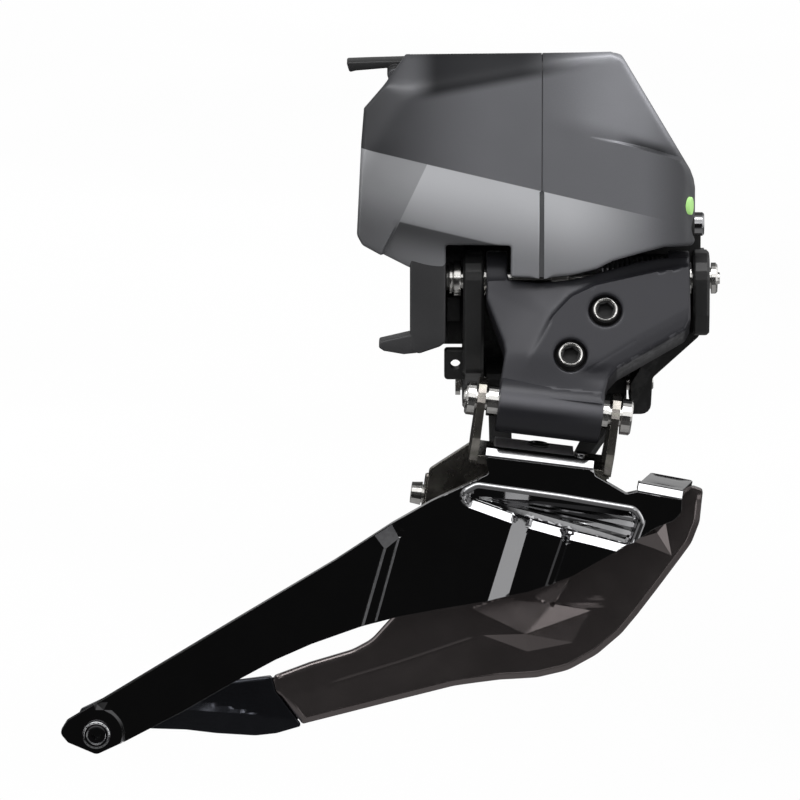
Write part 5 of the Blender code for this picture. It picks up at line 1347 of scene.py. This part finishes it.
tail_at = (TAIL[0], 0.0, TAIL[1])
screw = lathe(
    tail_at, INBOARD,
    soft_profile([(0.4, 0), (0.4, 1.2), (-12.9, 1.2), (-12.9, 2.25), (-13.55, 2.25), (-13.75, 1.9), (-13.72, 1.5), (-13.2, 1.45), (-13.2, 0)], 0.08, 2), 64, "tail_screw_body")
screw = cut(screw, hex_hole(tail_at, INBOARD, -15.0, -12.2, 1.5, 0.2), smooth=30)
pips = [lathe((TAIL[0] + 2.03 * math.cos(t), -13.62, TAIL[1] + 2.03 * math.sin(t)), INBOARD, [(-0.09, 0), (-0.07, 0.09), (0.0, 0.13), (0.1, 0.13), (0.1, 0)], 8, "pip") for t in np.arange(18) * 2 * math.pi / 18]
screw = join("tail_screw_body", screw, *pips)
piece(screw, "tail_screw_body", CAGE, "cage_black", "tail_screw", slot="cage_black")

# ================================================================== keep the rest of the CAD nodes
PAINT = {
    "mount_body": "cast_black", "mount_bolt": "steel", "mount_washer": "steel", "housing_seal": "rubber_black",
    "housing_screw_a": "steel", "housing_screw_b": "steel", "housing_screw_c": "steel", "housing_screw_d": "steel",
    "led_lens": "led_green", "button_seal": "rubber_black", "battery_cradle": "cradle_plastic", "contact_block": "black_plastic",
    "contact_pin_a": "brass", "contact_pin_b": "brass", "latch_pin": "steel", "drive_motor": "steel", "circuit_board": "board_green",
    "gear_shaft": "steel", "gear_plate": "black_plastic", "upper_pivot_pin": "steel", "upper_pivot_nut": "steel", "link_spring": "spring_dark",
    "inner_upper_pin": "steel", "upper_bush_rear": "steel", "upper_bush_front": "steel", "lower_bush_rear": "steel", "lower_bush_front": "steel",
    "sector_gear": "steel", "inner_link": "cast_black", "cage_bracket": "bracket_steel", "lower_pivot_pin": "steel", "lower_pivot_clip": "steel",
    "inner_lower_pin": "steel", "outer_plate": "cage_black", "inner_plate": "cage_brown", "inner_tail": "tail_blue_black", "tail_screw": "cage_black",
    "tail_spacer": "cage_black", "cage_screw_outer": "thread_black", "cage_screw_inner": "steel", "reduction_gear": "gear_white", "motor_pinion": "brass",
    "battery_latch": "black_plastic", "function_button": "button_gloss",
}
for name, mat in PAINT.items():
    if not NODES[name].hide_render:
        paint(NODES[name], mat)


def soften(name, width, segments=2, angle=30.0):
    """Rounds a CAD node's edges with modifiers."""
    obj = NODES[name]
    w = obj.modifiers.new("weld", "WELD")
    w.merge_threshold = 1e-6
    d = obj.modifiers.new("flat", "DECIMATE")
    d.decimate_type = "DISSOLVE"
    d.angle_limit = math.radians(1.0)
    b = obj.modifiers.new("bevel", "BEVEL")
    b.width = width * 0.001
    b.segments = 4 if width > 0.5 else segments
    b.limit_method = "ANGLE"
    b.angle_limit = math.radians(angle)
    b.harden_normals = False
    b.use_clamp_overlap = True


for name, width in (("mount_body", 0.8), ("cage_bracket", 0.15), ("inner_link", 0.25)):
    soften(name, width)

# ================================================================== floor, light and camera
CENTRE = Vector((-0.0286, -0.0320, -0.0059))


def world_light():
    world = bpy.data.worlds.new("studio")
    bpy.context.scene.world = world
    world.use_nodes = True
    tree = world.node_tree
    tree.nodes.clear()
    n = Net(tree)
    out = n.node("ShaderNodeOutputWorld")
    direction = n.node("ShaderNodeTexCoord").outputs["Generated"]
    sep = n.node("ShaderNodeSeparateXYZ")
    tree.links.new(direction, sep.inputs[0])
    x, y, z = sep.outputs
    # a broad soft bank above the viewer, fading behind the zenith
    up = n.ramp(z, 0.12, 0.75)
    ahead = n.ramp(y, -0.35, 0.35, 1.0, 0.12)
    bank = n.math("MULTIPLY", up, ahead)
    right = n.math("MULTIPLY", n.ramp(x, 0.35, 0.95), n.ramp(z, -0.5, 0.1))
    left = n.math("MULTIPLY", n.ramp(x, -0.95, -0.45, 1.0, 0.0), n.ramp(z, -0.3, 0.3))
    level = n.math("ADD", n.math("MULTIPLY", bank, 0.75), n.math("ADD", n.math("MULTIPLY", right, 0.9), n.math("MULTIPLY", left, 0.45)))
    below = n.math("MULTIPLY", n.ramp(z, -0.75, -0.38, 1.0, 0.0), 0.24)
    level = n.math("ADD", n.math("ADD", level, below), 0.010)
    ray = n.node("ShaderNodeLightPath")
    level = n.math("MULTIPLY", level, n.math("ADD", n.math("MULTIPLY", ray.outputs["Is Glossy Ray"], 0.9), 0.6))
    lit = n.node("ShaderNodeBackground")
    lit.inputs["Color"].default_value = (1, 1, 1, 1)
    tree.links.new(level, lit.inputs["Strength"])
    plain = n.node("ShaderNodeBackground")
    plain.inputs["Color"].default_value = (1, 1, 1, 1)
    plain.inputs["Strength"].default_value = 1.0
    path = n.node("ShaderNodeLightPath")
    mix = n.node("ShaderNodeMixShader")
    tree.links.new(path.outputs["Is Camera Ray"], mix.inputs[0])
    tree.links.new(lit.outputs[0], mix.inputs[1])
    tree.links.new(plain.outputs[0], mix.inputs[2])
    tree.links.new(mix.outputs[0], out.inputs[0])


world_light()


def area_light(name, direction, distance, size_x, size_y, watts):
    data = bpy.data.lights.new(name, "AREA")
    data.shape = "RECTANGLE"
    data.size, data.size_y = size_x, size_y
    data.energy = watts
    obj = bpy.data.objects.new(name, data)
    bpy.context.scene.collection.objects.link(obj)
    d = Vector(direction).normalized()
    obj.location = CENTRE + d * distance
    obj.rotation_mode = "QUATERNION"
    obj.rotation_quaternion = d.to_track_quat("Z", "Y")
    return obj


def bank(name, azimuth, elevation, distance, wide, tall, radiance):
    """A soft panel seen from the object; azimuth 0 is the viewer's side, positive to the right."""
    az, el = math.radians(azimuth), math.radians(elevation)
    d = (math.sin(az) * math.cos(el), -math.cos(az) * math.cos(el), math.sin(el))
    return area_light(name, d, distance, wide, tall, radiance * math.pi * wide * tall)


bank("strip_high", 0, 67, 0.9, 1.1, 0.24, 6.0)
bank("panel_front", 0, 36, 1.0, 1.2, 0.30, 0.5)
bank("panel_low", 0, 21.5, 1.0, 1.2, 0.115, 2.3)
bank("behind", 180, 12, 1.2, 1.0, 0.34, 0.55)
bank("panel_right", 28, -21, 1.0, 0.30, 0.32, 1.25)
bank("edge_right", 60, 0, 0.9, 0.16, 0.7, 2.2)
bank("edge_left", -46, -6, 1.0, 0.10, 0.6, 5.0)

floor_mesh = bpy.data.meshes.new("floor")
floor_mesh.from_pydata([(-4, -4, 0), (4, -4, 0), (4, 4, 0), (-4, 4, 0)], [], [(0, 1, 2, 3)])
floor = bpy.data.objects.new("floor", floor_mesh)
bpy.context.scene.collection.objects.link(floor)
floor.location = (0, 0, CAD_LO.z - 0.12)
floor_mat = bpy.data.materials.new("floor_pale")
floor_mat.use_nodes = True
ft = floor_mat.node_tree
ft.nodes.clear()
fn = Net(ft)
f_out = fn.node("ShaderNodeOutputMaterial")
f_emit = fn.node("ShaderNodeEmission")
f_emit.inputs["Strength"].default_value = 1.0
ft.links.new(fn.mix(fn.ramp(fn.noise(3.0), 0.3, 0.7), (1.0, 1.0, 1.0), (0.985, 0.985, 0.985)), f_emit.inputs["Color"])
f_dark = fn.node("ShaderNodeBsdfDiffuse")
f_dark.inputs["Color"].default_value = (0.10, 0.10, 0.10, 1)
f_path = fn.node("ShaderNodeLightPath")
f_mix = fn.node("ShaderNodeMixShader")
ft.links.new(f_path.outputs["Is Camera Ray"], f_mix.inputs[0])
ft.links.new(f_dark.outputs[0], f_mix.inputs[1])
ft.links.new(f_emit.outputs[0], f_mix.inputs[2])
ft.links.new(f_mix.outputs[0], f_out.inputs[0])
floor_mesh.materials.append(floor_mat)
floor.visible_glossy = False
floor.visible_shadow = False

cam_data = bpy.data.cameras.new("camera")
cam = bpy.data.objects.new("camera", cam_data)
bpy.context.scene.collection.objects.link(cam)
cam_data.lens = 400.0
cam_data.sensor_width = 36.0
ELEV = math.radians(12.0)
back_dir = Vector((0.0, -math.cos(ELEV), math.sin(ELEV)))
cam.location = CENTRE + back_dir * (0.128 * 400.0 / 36.0)
cam.rotation_mode = "QUATERNION"
cam.rotation_quaternion = back_dir.to_track_quat("Z", "Y")
cam_data.clip_start, cam_data.clip_end = 0.01, 50.0
bpy.context.scene.camera = cam
bpy.context.scene.view_settings.view_transform = "Standard"
bpy.context.scene.view_settings.look = "None"
